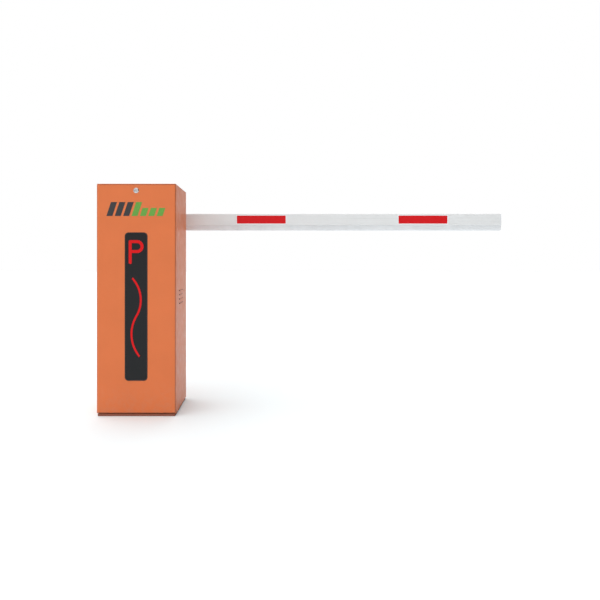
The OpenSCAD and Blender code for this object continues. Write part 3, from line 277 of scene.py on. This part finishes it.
def bare_metal(name, colour, rough=0.3, brushed=(1, 1, 1), grain=900.0, blotch=0.08, metallic=1.0,
               stain=0.2, depth=0.00004):
    """Ground, plated or cast metal: grain along one way, blotchy plating and a little tarnish."""
    m = Nodes(name)
    fibres = m.noise(grain, 4.0, 0.6, m.stretched(brushed))
    patches = m.cells(70.0)
    tone = m.mix(m.ramp(patches, 0.0, 0.8), darker(colour, 1 - blotch), darker(colour, 1 + blotch))
    spots = m.ramp(m.noise(38.0, 6.0, 0.65), 0.55, 0.78)
    tone = m.mix(m.math("MULTIPLY", spots, stain), tone, TARNISH)
    m.socket("Base Color", tone)
    m.socket("Metallic", metallic)
    m.socket("Roughness", m.ramp(fibres, 0.3, 0.7, rough * 0.75, rough * 1.35))
    m.socket("Normal", m.bump(fibres, 0.35, depth, m.rounded(0.0005)))
    return m.material


def moulded(name, colour, rough=0.5, texture=700.0, depth=0.00008, spread=0.05, coat=0.0):
    """Moulded plastic or rubber with spark-eroded grain and slight flow marks."""
    m = Nodes(name)
    flow = m.noise(18.0, 3.0, 0.5, m.stretched((1, 1, 0.35)))
    tone = m.mix(m.ramp(flow, 0.3, 0.7), darker(colour, 1 - spread), darker(colour, 1 + spread))
    rub = m.math("MULTIPLY", m.edge(0.0008), 0.35)
    m.socket("Base Color", m.mix(rub, tone, blend(colour, (0.7, 0.7, 0.7, 1), 0.25)))
    grain = m.noise(texture, 3.0, 0.5)
    m.socket("Roughness", m.ramp(grain, 0.3, 0.7, rough * 0.85, min(1.0, rough * 1.15)))
    m.socket("Coat Weight", coat)
    m.socket("Normal", m.bump(grain, 0.4, depth, m.rounded(0.0006)))
    return m.material


ORANGE = rgb(224, 118, 66)


def cabinet_paint():
    # fold_shade paints shade along the shell's rounded corners and edges.
    return powder_coat("orange_powder_coat", ORANGE, rough=0.42, coat=0.10, coat_rough=0.05, peel=0.12,
                       wear=0.10, dust=0.15, spread=0.03, specular=0.26, fold_shade=0.6)


def boom_coating():
    """Satin white coat on an extrusion: die lines along X, faint grime."""
    m = Nodes("boom_white_coat")
    lines = m.noise(260.0, 3.0, 0.6, m.stretched((0.01, 1, 1)))
    grime = m.ramp(m.noise(9.0, 5.0, 0.6), 0.45, 0.8)
    base = rgb(229, 229, 229)
    tone = m.mix(m.ramp(lines, 0.35, 0.65), darker(base, 0.97), base)
    m.socket("Base Color", m.mix(m.math("MULTIPLY", grime, 0.10), tone, rgb(180, 176, 168)))
    m.socket("Roughness", m.ramp(lines, 0.3, 0.7, 0.26, 0.38))
    m.socket("Coat Weight", 0.25)
    m.socket("Coat Roughness", 0.2)
    m.socket("Normal", m.bump(lines, 0.25, 0.00006, m.rounded(0.0012)))
    return m.material


def reflective_film():
    """Red retroreflective film: sealed honeycomb cells with fine beads between their walls."""
    m = Nodes("reflective_red_film")
    flat = m.stretched((1, 0.0, 1.1547), (0, 0, 0))
    walls = m.ramp(m.cells(220.0, "DISTANCE_TO_EDGE", 0.35, flat), 0.04, 0.10)
    beads = m.cells(2600.0)
    red = m.mix(walls, rgb(180, 4, 12), rgb(222, 4, 16))
    m.socket("Base Color", m.mix(m.ramp(beads, 0.0, 0.9, 0.0, 0.2), red, rgb(218, 20, 30)))
    m.socket("Specular IOR Level", 0.15)
    m.socket("Roughness", m.ramp(walls, 0.0, 1.0, 0.5, 0.28))
    m.socket("Coat Weight", 0.15)
    m.socket("Normal", m.bump(walls, 0.3, 0.0001))
    return m.material


LEDS_PER_METRE = 165.0                # rows of LEDs behind the sign, 6 mm apart


def lit_lens(name, colour, power):
    """Lens lit from behind by rows of LEDs: brighter spots 6 mm apart under frosted plastic."""
    m = Nodes(name)
    flat = m.stretched((1, 0.0, 1))
    dots = m.ramp(m.cells(LEDS_PER_METRE, "F1", 0.0, flat), 0.1, 0.6, 1.0, 0.62)
    frost = m.noise(800.0, 2.0)
    m.socket("Base Color", m.mix(m.ramp(frost, 0.3, 0.7, 0.0, 0.15), darker(colour, 0.6), darker(colour, 0.4)))
    m.socket("Specular IOR Level", 0.2)
    m.socket("Emission Color", m.mix(dots, darker(colour, 0.55), colour))
    m.socket("Emission Strength", power)
    m.socket("Roughness", 0.3)
    m.socket("Normal", m.bump(frost, 0.2, 0.00005, m.rounded(0.0008)))
    return m.material


def tinted_pane():
    """Smoked acrylic: deep grey-black, a faint matrix of unlit LEDs behind it, hairline scratches."""
    m = Nodes("smoked_acrylic")
    flat = m.stretched((1, 0.0, 1))
    matrix = m.ramp(m.cells(LEDS_PER_METRE, "F1", 0.0, flat), 0.10, 0.24, 1.0, 0.0)
    tone = m.mix(m.math("MULTIPLY", matrix, 0.25), rgb(28, 29, 31), rgb(52, 52, 56))
    hairs = m.ramp(m.noise(60.0, 8.0, 0.8, m.stretched((1, 1, 0.04))), 0.62, 0.75)
    m.socket("Base Color", tone)
    m.socket("Roughness", m.ramp(hairs, 0.0, 1.0, 0.16, 0.34))
    m.socket("Specular IOR Level", 0.2)
    m.socket("Normal", m.bump(m.noise(25.0, 2.0), 0.05, 0.0004, m.rounded(0.0006)))
    return m.material


def circuit_board():
    """Green solder mask over square copper tracks, with tinned pads on a 5 mm grid."""
    m = Nodes("solder_mask")
    tracks = m.add("ShaderNodeTexBrick")
    tracks.offset = 0.37
    for key, value in (("Scale", 1.0), ("Mortar Size", 0.0007), ("Brick Width", 0.021), ("Row Height", 0.0034)):
        tracks.inputs[key].default_value = value
    upright = m.stretched((1, 1, 1), (math.radians(90), 0, 0))
    m.link(upright, tracks.inputs["Vector"])
    pads = m.ramp(m.cells(200.0, "F1", 0.0, m.stretched((1, 0.0, 1))), 0.14, 0.18, 1.0, 0.0)
    some = m.ramp(m.noise(45.0, 2.0), 0.50, 0.52)
    pads = m.math("MULTIPLY", pads, some)
    mask = m.mix(tracks.outputs["Fac"], rgb(16, 84, 50), rgb(30, 112, 66))
    m.socket("Base Color", m.mix(pads, mask, rgb(196, 194, 180)))
    m.socket("Metallic", m.math("MULTIPLY", pads, 0.9))
    m.socket("Roughness", m.ramp(pads, 0.0, 1.0, 0.32, 0.25))
    m.socket("Normal", m.bump(tracks.outputs["Fac"], 0.3, 0.0001))
    return m.material


def foam():
    """Closed-cell foam: open pores on a matt skin."""
    m = Nodes("door_foam")
    pores = m.ramp(m.cells(900.0), 0.1, 0.7)
    m.socket("Base Color", m.mix(pores, rgb(14, 14, 14), rgb(42, 42, 42)))
    m.socket("Roughness", 0.95)
    m.socket("Normal", m.bump(pores, 0.8, 0.0003))
    return m.material


MATERIALS = {
    "orange_paint": cabinet_paint(),
    # The plinth's brown-orange is partly its own darker paint and partly painted shade for the shadowed gap
    # under the door's overhang.
    "dark_paint": powder_coat("plinth_paint_and_shade", rgb(146, 84, 60), rough=0.6, wear=0.4, peel=0.3),
    "grey_paint": powder_coat("grey_frame_paint", rgb(104, 110, 116), rough=0.4, wear=0.5, peel=0.3),
    "blue_paint": powder_coat("blue_lever_paint", rgb(44, 84, 132), rough=0.38, wear=0.6, peel=0.3),
    "yellow_paint": powder_coat("yellow_link_paint", rgb(216, 158, 40), rough=0.38, wear=0.6, peel=0.3),
    "zinc_steel": bare_metal("zinc_plate", rgb(192, 195, 198), rough=0.42, brushed=(1, 1, 0.1), blotch=0.05,
                             stain=0.05, metallic=0.8),
    "bright_steel": bare_metal("ground_steel", rgb(190, 190, 192), rough=0.2, brushed=(1, 14, 1), grain=160.0),
    "spring_steel": bare_metal("phosphated_steel", rgb(84, 84, 88), rough=0.42, metallic=0.85, stain=0.35),
    "cast_iron": bare_metal("painted_casting", rgb(70, 76, 82), rough=0.6, grain=340.0, depth=0.0003,
                            metallic=0.2, stain=0.1),
    "cast_aluminium": bare_metal("die_cast_aluminium", rgb(168, 171, 175), rough=0.46, grain=420.0,
                                 depth=0.00018, metallic=0.9),
    "brass": bare_metal("turned_brass", rgb(206, 172, 104), rough=0.3, brushed=(1, 0.3, 1), grain=240.0,
                        stain=0.08, depth=0.00002),
    "chrome": bare_metal("polished_chrome", rgb(196, 195, 196), rough=0.1, blotch=0.02, stain=0.03,
                         depth=0.00001),
    "boom_coating": boom_coating(),
    "pale_rubber": moulded("pale_edge_rubber", rgb(226, 227, 229), rough=0.6, texture=500.0),
    "black_rubber": moulded("black_rubber", rgb(26, 26, 27), rough=0.75, texture=380.0, depth=0.00015),
    "pale_plastic": moulded("pale_cap_plastic", rgb(224, 225, 227), rough=0.45),
    "black_plastic": moulded("black_plastic", rgb(30, 31, 33), rough=0.45),
    "white_plastic": moulded("white_plastic", rgb(214, 213, 207), rough=0.42),
    "green_plastic": moulded("green_plastic", rgb(40, 130, 74), rough=0.42),
    "red_plastic": moulded("red_plastic", rgb(190, 34, 32), rough=0.38),
    "yellow_plastic": moulded("yellow_plastic", rgb(226, 178, 40), rough=0.4),
    "blue_plastic": moulded("blue_plastic", rgb(36, 72, 160), rough=0.4),
    "circuit_board": circuit_board(),
    "black_acrylic": tinted_pane(),
    "red_light": lit_lens("lit_red_lens", rgb(214, 6, 14), 0.5),
    "red_film": reflective_film(),
}
FOAM = foam()
GREEN_INK = moulded("green_ink", rgb(98, 160, 58), rough=0.45, depth=0.00003)
DARK_INK = moulded("charcoal_ink", rgb(42, 42, 45), rough=0.45, depth=0.00003)
RIM_BLACK = moulded("window_rim", rgb(17, 17, 16), rough=0.5)
SHADE_BROWN = moulded("louvre_shade", rgb(92, 48, 36), rough=0.7)
WHITE_FILM = moulded("white_film", rgb(244, 244, 246), rough=0.35, depth=0.00003, coat=0.4)
CAPACITOR = moulded("capacitor_sleeve", rgb(40, 58, 92), rough=0.3, coat=0.3)
CABLE_COLOURS = [moulded("cable_" + n, c, rough=0.4) for n, c in (
    ("grey", rgb(92, 94, 98)), ("black", rgb(34, 34, 36)), ("red", rgb(186, 30, 28)),
    ("brown", rgb(104, 62, 36)), ("blue", rgb(40, 84, 170)))]

# CAD nodes that keep their shape take the material of their slot
SLOT_OF = {part["node"]: part["material_slot"] for part in frame["record"]["subparts"]}


def paint(obj, material):
    obj.data.materials.clear()
    obj.data.materials.append(material)


for node_name, node_object in frame["nodes"].items():
    paint(node_object, MATERIALS[SLOT_OF[node_name]])
paint(frame["nodes"]["door_seals"], FOAM)


# ---------------------------------------------------------------- pieces: helpers

SHARP_ANGLE = math.radians(35)        # edges sharper than this stay sharp on a smooth piece


def piece(name, mesh_builder, body, material, smooth=True):
    """New object whose mesh is filled by mesh_builder(bm), riding on a body."""
    mesh = bpy.data.meshes.new(name)
    bm = bmesh.new()
    mesh_builder(bm)
    bmesh.ops.recalc_face_normals(bm, faces=bm.faces)
    bm.to_mesh(mesh)
    bm.free()
    obj = bpy.data.objects.new(name, mesh)
    bpy.context.scene.collection.objects.link(obj)
    paint(obj, material)
    if smooth:
        for polygon in mesh.polygons:
            polygon.use_smooth = True
        mesh.set_sharp_from_angle(angle=SHARP_ANGLE)
    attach(obj, body)
    return obj


def add_prism(bm, outline, y0, y1):
    """Solid with a flat outline of (x, z) points, from y0 to y1."""
    front = [bm.verts.new((x, y0, z)) for x, z in outline]
    back = [bm.verts.new((x, y1, z)) for x, z in outline]
    bm.faces.new(front)
    bm.faces.new(back[::-1])
    for i in range(len(outline)):
        j = (i + 1) % len(outline)
        bm.faces.new((front[i], front[j], back[j], back[i]))


def around(count):
    """Angles of count points round a circle."""
    return [2 * math.pi * k / count for k in range(count)]


def facing(point, direction):
    """Matrix whose Z runs along direction from point."""
    return Matrix.Translation(point) @ Vector(direction).to_track_quat("Z", "Y").to_matrix().to_4x4()


# ---------------------------------------------------------------- door: printed bars

door_low, door_high = box("front_door")
DOOR_FACE = door_low.y


def slanted_bar(x0, x1, z0, z1, lean):
    """Outline of a bar whose top lies lean further along x than its foot."""
    return [(x0, z0), (x1, z0), (x1 + lean, z1), (x0 + lean, z1)]


BAR_INK = 0.15 * MM                   # thickness of the print
BARS_FOOT = door_high.z - 134 * MM
BARS_TOP = door_high.z - 74 * MM
BARS_START = -128 * MM                # foot of the first bar, along x
BAR_WIDTH, BAR_STEP, BAR_LEAN = 26 * MM, 36 * MM, 20 * MM
BAR_COUNTS = {"dark": 3, "all": 7}
SHORT_BY = 0.42                       # share of the height that the last bars lack


def printed_bars(first, last, shorten):
    """Builder of the slanted bars first to last - 1, between the lock and the window."""
    def fill(bm):
        for i in range(first, last):
            x = BARS_START + i * BAR_STEP
            top = BARS_TOP - (BARS_TOP - BARS_FOOT) * (SHORT_BY if shorten and i > first else 0.0)
            lean = BAR_LEAN * ((top - BARS_FOOT) / (BARS_TOP - BARS_FOOT))
            add_prism(bm, slanted_bar(x, x + BAR_WIDTH, BARS_FOOT, top, lean), DOOR_FACE - BAR_INK, DOOR_FACE)
    return fill


piece("printed_bars_dark", printed_bars(0, BAR_COUNTS["dark"], False), "door", DARK_INK,
      smooth=False)
piece("printed_bars_green", printed_bars(BAR_COUNTS["dark"], BAR_COUNTS["all"], True), "door", GREEN_INK,
      smooth=False)


# ---------------------------------------------------------------- lock: barrel with a domed rim

lock_low, lock_high = box("lock_barrel")
LOCK_Z = (lock_low.z + lock_high.z) / 2
LOCK_R = lock_high.z - LOCK_Z
LOCK_PROUD = DOOR_FACE - lock_low.y   # in front of the door's face
LOCK_DEEP = lock_high.y - DOOR_FACE   # behind it
LOCK_BORE, LOCK_NECK = 6.1 * MM, 9 * MM
LOCK_SIDES = 48
NUT_R, NUT_BORE, NUT_HIGH = 12.8 * MM, 9.05 * MM, 4.6 * MM
DOOR_SHEET = 2 * MM


def lock_body(bm):
    """Turned barrel: bore, dished face, domed rim, neck and a hexagon nut behind the sheet."""
    profile = [(LOCK_BORE, LOCK_PROUD * 0.72), (LOCK_BORE + 1.0 * MM, LOCK_PROUD * 0.80),
               (LOCK_BORE + 1.6 * MM, LOCK_PROUD), (LOCK_R * 0.76, LOCK_PROUD * 0.96),
               (LOCK_R * 0.87, LOCK_PROUD * 0.80), (LOCK_R * 0.95, LOCK_PROUD * 0.52),
               (LOCK_R, LOCK_PROUD * 0.16), (LOCK_R, 0), (LOCK_NECK, 0),
               (LOCK_NECK, -LOCK_DEEP), (LOCK_BORE, -LOCK_DEEP)]
    place = facing((0, DOOR_FACE, LOCK_Z), (0, -1, 0))
    rings = [[bm.verts.new(place @ Vector((r * math.cos(a), r * math.sin(a), h))) for a in around(LOCK_SIDES)]
             for r, h in profile]
    for low, high in zip(rings, rings[1:] + rings[:1]):
        for k in range(LOCK_SIDES):
            j = (k + 1) % LOCK_SIDES
            bm.faces.new((low[k], low[j], high[j], high[k]))
    lock_nut(bm, DOOR_FACE + DOOR_SHEET, DOOR_FACE + DOOR_SHEET + NUT_HIGH)


def lock_nut(bm, y0, y1):
    """Hexagon nut with a round bore, from y0 to y1."""
    hexagon = [(NUT_R * math.cos(a), LOCK_Z + NUT_R * math.sin(a)) for a in around(6)]
    bore = [(NUT_BORE * math.cos(a), LOCK_Z + NUT_BORE * math.sin(a)) for a in around(LOCK_SIDES)]
    outer = [[bm.verts.new((x, y, z)) for x, z in hexagon] for y in (y0, y1)]
    inner = [[bm.verts.new((x, y, z)) for x, z in bore] for y in (y0, y1)]
    for k in range(6):
        j = (k + 1) % 6
        bm.faces.new((outer[0][k], outer[0][j], outer[1][j], outer[1][k]))
    for k in range(LOCK_SIDES):
        j = (k + 1) % LOCK_SIDES
        bm.faces.new((inner[0][k], inner[1][k], inner[1][j], inner[0][j]))
    per_flat = LOCK_SIDES // 6
    for side in (0, 1):
        for k in range(6):
            arc = [inner[side][(per_flat * k + n) % LOCK_SIDES] for n in range(per_flat + 1)]
            bm.faces.new([outer[side][k], *arc, outer[side][(k + 1) % 6]])


lock_piece = piece("lock_turned_barrel", lock_body, "door", MATERIALS["chrome"])
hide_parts("lock_barrel")


# ---------------------------------------------------------------- cabinet: window rim, painted shade at the louvre ends

paint(frame["nodes"]["window_bezel"], RIM_BLACK)

LOUVRE_R = 4.3 * MM                   # of the hoods' round backs
LOUVRE_CAP = 0.3 * MM                 # how far a painted-shade end cap stands out of its hood
LOUVRE_SUNK = 0.1 * MM                # and how far it reaches in
LOUVRE_ARC = range(0, 91, 15)         # degrees


def louvre_end_shade(bm):
    """Painted shade: dark brown caps on the open ends of the louvre hoods of both side walls, where the
    openings lie in shade; their places are read from the shell.
    """
    shell = frame["nodes"]["cabinet_shell"]
    corners = [shell.matrix_world @ vertex.co for vertex in shell.data.vertices]
    reach = max(co.x for co in corners)
    crest = [co for co in corners if co.x > reach - 0.05 * MM]
    front, back = min(co.y for co in crest), max(co.y for co in crest)
    middle = reach - LOUVRE_R
    for foot in sorted({round(co.z, 4) for co in crest}):
        for side in (-1, 1):
            arc = [(side * (middle + LOUVRE_R * math.cos(math.radians(a)) * 0.98),
                    foot + LOUVRE_R * math.sin(math.radians(a))) for a in LOUVRE_ARC]
            outline = [(side * middle, foot)] + arc
            add_prism(bm, outline, front - LOUVRE_CAP, front + LOUVRE_SUNK)
            add_prism(bm, outline, back - LOUVRE_SUNK, back + LOUVRE_CAP)


piece("louvre_end_shade", louvre_end_shade, "cabinet", SHADE_BROWN, smooth=False)


# ---------------------------------------------------------------- boom: white borders of the reflectors

def spans_along_x(node, gap):
    """Runs of a node's mesh along x that lie more than gap apart."""
    spans = []
    for x in sorted(v.co.x for v in frame["nodes"][node].data.vertices):
        if not spans or x - spans[-1][1] > gap:
            spans.append([x, x])
        spans[-1][1] = x
    return spans


def frame_strip(bm, x0, x1, z0, z1, y0, y1, width):
    """Flat picture frame in the xz plane."""
    outer = [(x0, z0), (x1, z0), (x1, z1), (x0, z1)]
    inner = [(x0 + width, z0 + width), (x1 - width, z0 + width),
             (x1 - width, z1 - width), (x0 + width, z1 - width)]
    loops = [[bm.verts.new((x, y, z)) for x, z in loop] for y in (y0, y1) for loop in (outer, inner)]
    front_out, front_in, back_out, back_in = loops
    for a, b in ((front_out, front_in), (front_in, back_in), (back_in, back_out), (back_out, front_out)):
        for k in range(4):
            j = (k + 1) % 4
            bm.faces.new((a[k], a[j], b[j], b[k]))


film_low, film_high = box("boom_reflectors")
boom_low, boom_high = box("boom_tube")
BORDER = 3 * MM                       # from the film's edge to the border's outer edge
BORDER_GAP = 0.1 * MM                 # between the film and the border
FILM_APART = 0.4                      # reflectors lie further apart than this, m


def film_borders(bm):
    """White edge round each reflector, on the boom's front and back."""
    for x0, x1 in spans_along_x("boom_reflectors", FILM_APART):
        for y0, y1 in ((film_low.y, boom_low.y), (boom_high.y, film_high.y)):
            frame_strip(bm, x0 - BORDER, x1 + BORDER, film_low.z - BORDER, film_high.z + BORDER, y0, y1,
                        BORDER - BORDER_GAP)


piece("film_borders", film_borders, "boom", WHITE_FILM, smooth=False)


# ---------------------------------------------------------------- balance springs: wound wire

HOOK_R, WIRE_R = 9 * MM, 2.4 * MM
COIL_PITCH = 9 * MM
COIL_STEPS = 18                       # points to a turn
HOOK_STEP, HOOK_POINTS = 15, 23       # degrees from point to point round a hook, and their number
SPIRAL_STEPS = 14                     # points from a hook to the coil
SPIRAL_RISE = 6.4 * MM
SPRING_GAP = 8 * MM                   # the two springs lie further apart than this
spring_low, spring_high = box("balance_springs")
COIL_R = (spring_high.x - spring_low.x) / 2 - WIRE_R


def spring_axes():
    """The springs' axes as (x, y): the node's mesh falls into two runs along y."""
    ys = sorted(v.co.y for v in frame["nodes"]["balance_springs"].data.vertices)
    split = next(k for k in range(1, len(ys)) if ys[k] - ys[k - 1] > SPRING_GAP)
    x = (spring_high.x + spring_low.x) / 2
    return [(x, (ys[0] + ys[split - 1]) / 2), (x, (ys[split] + ys[-1]) / 2)]


def spiral(share, degrees, height):
    """Point of the spiral between hook and coil: share 0 is at the hook, 1 at the coil."""
    a, r = math.radians(degrees), COIL_R * share * (2 - share)
    return r * math.cos(a), r * math.sin(a), height


def spring_path():
    """Centre line of one spring about its own axis: hook, spiral out, coil, spiral in, hook."""
    low = spring_low.z + WIRE_R + HOOK_R
    high = spring_high.z - WIRE_R - HOOK_R
    coil_low, coil_high = low + HOOK_R + SPIRAL_RISE, high - HOOK_R - SPIRAL_RISE
    turns = math.floor((coil_high - coil_low) / COIL_PITCH) + 0.75
    points = []
    for k in range(HOOK_POINTS):
        a = math.radians(120 + HOOK_STEP * k)
        points.append((0, HOOK_R * math.cos(a), low + HOOK_R * math.sin(a)))
    for k in range(1, SPIRAL_STEPS + 1):
        t = k / SPIRAL_STEPS
        points.append(spiral(t, -90 + 270 * t, low + HOOK_R + SPIRAL_RISE * t * t))
    count = int(turns * COIL_STEPS)
    for k in range(1, count):
        t = k / count
        a = math.radians(180 + 360 * turns * t)
        points.append((COIL_R * math.cos(a), COIL_R * math.sin(a), coil_low + (coil_high - coil_low) * t))
    for k in range(SPIRAL_STEPS + 1):
        t = 1 - k / SPIRAL_STEPS
        points.append(spiral(t, -270 * t, high - HOOK_R - SPIRAL_RISE * t * t))
    for k in range(1, HOOK_POINTS):
        a = math.radians(-90 - HOOK_STEP * k)
        points.append((HOOK_R * math.cos(a), 0, high + HOOK_R * math.sin(a)))
    return [Vector(p) for p in points]


def add_wire(bm, points, radius, sides=8):
    """Round wire swept along points."""
    rings, side = [], None
    for k, p in enumerate(points):
        along = (points[min(k + 1, len(points) - 1)] - points[max(k - 1, 0)]).normalized()
        if side is None:
            side = along.orthogonal().normalized()
        side = (side - along * side.dot(along)).normalized()
        up = along.cross(side)
        rings.append([bm.verts.new(p + radius * (side * math.cos(a) + up * math.sin(a)))
                      for a in around(sides)])
    for low, high in zip(rings, rings[1:]):
        for j in range(sides):
            i = (j + 1) % sides
            bm.faces.new((low[j], low[i], high[i], high[j]))
    bm.faces.new(rings[0][::-1])
    bm.faces.new(rings[-1])


def both_springs(bm):
    """Two wound springs, their wire a little thinner than the CAD springs' ridges."""
    path = spring_path()
    for x, y in spring_axes():
        add_wire(bm, [p + Vector((x, y, 0)) for p in path], WIRE_R * 0.98)


springs = piece("wound_springs", both_springs, "cabinet", MATERIALS["spring_steel"])
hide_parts("balance_springs")

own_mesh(springs)


# ---------------------------------------------------------------- several materials on one CAD node

def islands(obj):
    """Faces of a mesh by connected part, with each part's lowest and highest corner."""
    mesh = obj.data
    parent = list(range(len(mesh.vertices)))

    def root(i):
        while parent[i] != i:
            parent[i] = parent[parent[i]]
            i = parent[i]
        return i

    spots = {}
    for i, v in enumerate(mesh.vertices):
        j = spots.setdefault(tuple(round(c, 6) for c in v.co), i)
        parent[root(i)] = root(j)
    for e in mesh.edges:
        parent[root(e.vertices[0])] = root(e.vertices[1])
    found = {}
    for polygon in mesh.polygons:
        found.setdefault(root(polygon.vertices[0]), []).append(polygon.index)
    result = []
    for faces in found.values():
        co = [mesh.vertices[i].co for f in faces for i in mesh.polygons[f].vertices]
        result.append((faces, Vector(map(min, *co)), Vector(map(max, *co))))
    return sorted(result, key=lambda part: tuple(round(c, 5) for c in part[1]))


def paint_islands(node, pick):
    """Gives each connected part of a node the material that pick(number, size) names."""
    obj = frame["nodes"][node]
    parts = [(faces, pick(number, high - low)) for number, (faces, low, high) in enumerate(islands(obj))]
    used = list(dict.fromkeys(material for faces, material in parts))
    obj.data.materials.clear()
    for material in used:
        obj.data.materials.append(material)
    for faces, material in parts:
        for f in faces:
            obj.data.polygons[f].material_index = used.index(material)


CHIP_HEIGHT = 5 * MM
TRANSFORMER_WIDTH = 30 * MM
RELAY_WIDTH = 15 * MM
ROUND_WITHIN = 0.5 * MM


def component_material(number, size):
    """Relays, chips, connectors, capacitors and the transformer, told apart by their sizes."""
    if size.y < CHIP_HEIGHT:
        return MATERIALS["black_plastic"]
    if size.x > TRANSFORMER_WIDTH:
        return MATERIALS["yellow_plastic"]
    if abs(size.x - size.z) < ROUND_WITHIN:
        return CAPACITOR if size.y > size.x else MATERIALS["black_plastic"]
    return MATERIALS["blue_plastic"] if size.x > RELAY_WIDTH else MATERIALS["green_plastic"]


paint_islands("board_components", component_material)
paint_islands("wiring_loom", lambda number, size: CABLE_COLOURS[number % len(CABLE_COLOURS)])


# ---------------------------------------------------------------- floor and light

FLOOR_SIZE = 30.0                     # m
FLOOR_DIM, FLOOR_BRIGHT = (0.87, 0.92, 0.935, 1), (0.88, 0.93, 0.945, 1)   # linear colours
ROOM_DIMS_FROM, ROOM_DARK_FROM = 0.28, 0.52    # where the room's light fades, along x of its direction
ROOM_DARK = 0.02                      # light of the room's dark side


def floor_material():
    """Pale matt floor, very slightly cloudy."""
    m = Nodes("studio_floor")
    clouds = m.ramp(m.noise(0.6, 2.0), 0.3, 0.7)
    m.socket("Base Color", m.mix(clouds, FLOOR_DIM, FLOOR_BRIGHT))
    m.socket("Roughness", 0.9)
    m.socket("Specular IOR Level", 0.1)
    return m.material


def floor():
    """Flat floor at the foot of the part."""
    mesh = bpy.data.meshes.new("studio_floor")
    bm = bmesh.new()
    bmesh.ops.create_grid(bm, x_segments=8, y_segments=8, size=FLOOR_SIZE)
    bm.to_mesh(mesh)
    bm.free()
    obj = bpy.data.objects.new("studio_floor", mesh)
    obj.location = (0, 0, CAD_BOX[0].z)
    bpy.context.scene.collection.objects.link(obj)
    paint(obj, floor_material())


def sun(direction, power, softness):
    """Soft light from far away; softness is its width in the sky, in degrees."""
    data = bpy.data.lights.new("key", "SUN")
    data.energy = power
    data.angle = math.radians(softness)
    obj = bpy.data.objects.new("key", data)
    obj.rotation_euler = Vector(direction).to_track_quat("-Z", "Y").to_euler()
    bpy.context.scene.collection.objects.link(obj)


def world(shade):
    """A white room whose right side gives less light; what the camera sees of it is white all round."""
    studio = bpy.data.worlds.new("studio")
    studio.use_nodes = True
    nodes, links = studio.node_tree.nodes, studio.node_tree.links
    where = nodes.new("ShaderNodeTexCoord")
    split = nodes.new("ShaderNodeSeparateXYZ")
    fade = nodes.new("ShaderNodeMapRange")
    fade.interpolation_type = "SMOOTHSTEP"
    for name, value in (("From Min", ROOM_DIMS_FROM), ("From Max", ROOM_DARK_FROM),
                        ("To Min", 1.0), ("To Max", shade)):
        fade.inputs[name].default_value = value
    links.new(where.outputs["Generated"], split.inputs["Vector"])
    links.new(split.outputs["X"], fade.inputs["Value"])
    seen = nodes.new("ShaderNodeLightPath")
    either = nodes.new("ShaderNodeMath")
    either.operation = "MAXIMUM"
    links.new(fade.outputs["Result"], either.inputs[0])
    links.new(seen.outputs["Is Camera Ray"], either.inputs[1])
    links.new(either.outputs["Value"], nodes["Background"].inputs["Strength"])
    nodes["Background"].inputs["Color"].default_value = (1, 1, 1, 1)
    bpy.context.scene.world = studio


floor()
world(ROOM_DARK)
sun(direction=(0.15, 0.0, -1.9), power=1.5, softness=60)
bpy.context.scene.view_settings.view_transform = "Standard"
bpy.context.scene.view_settings.look = "None"
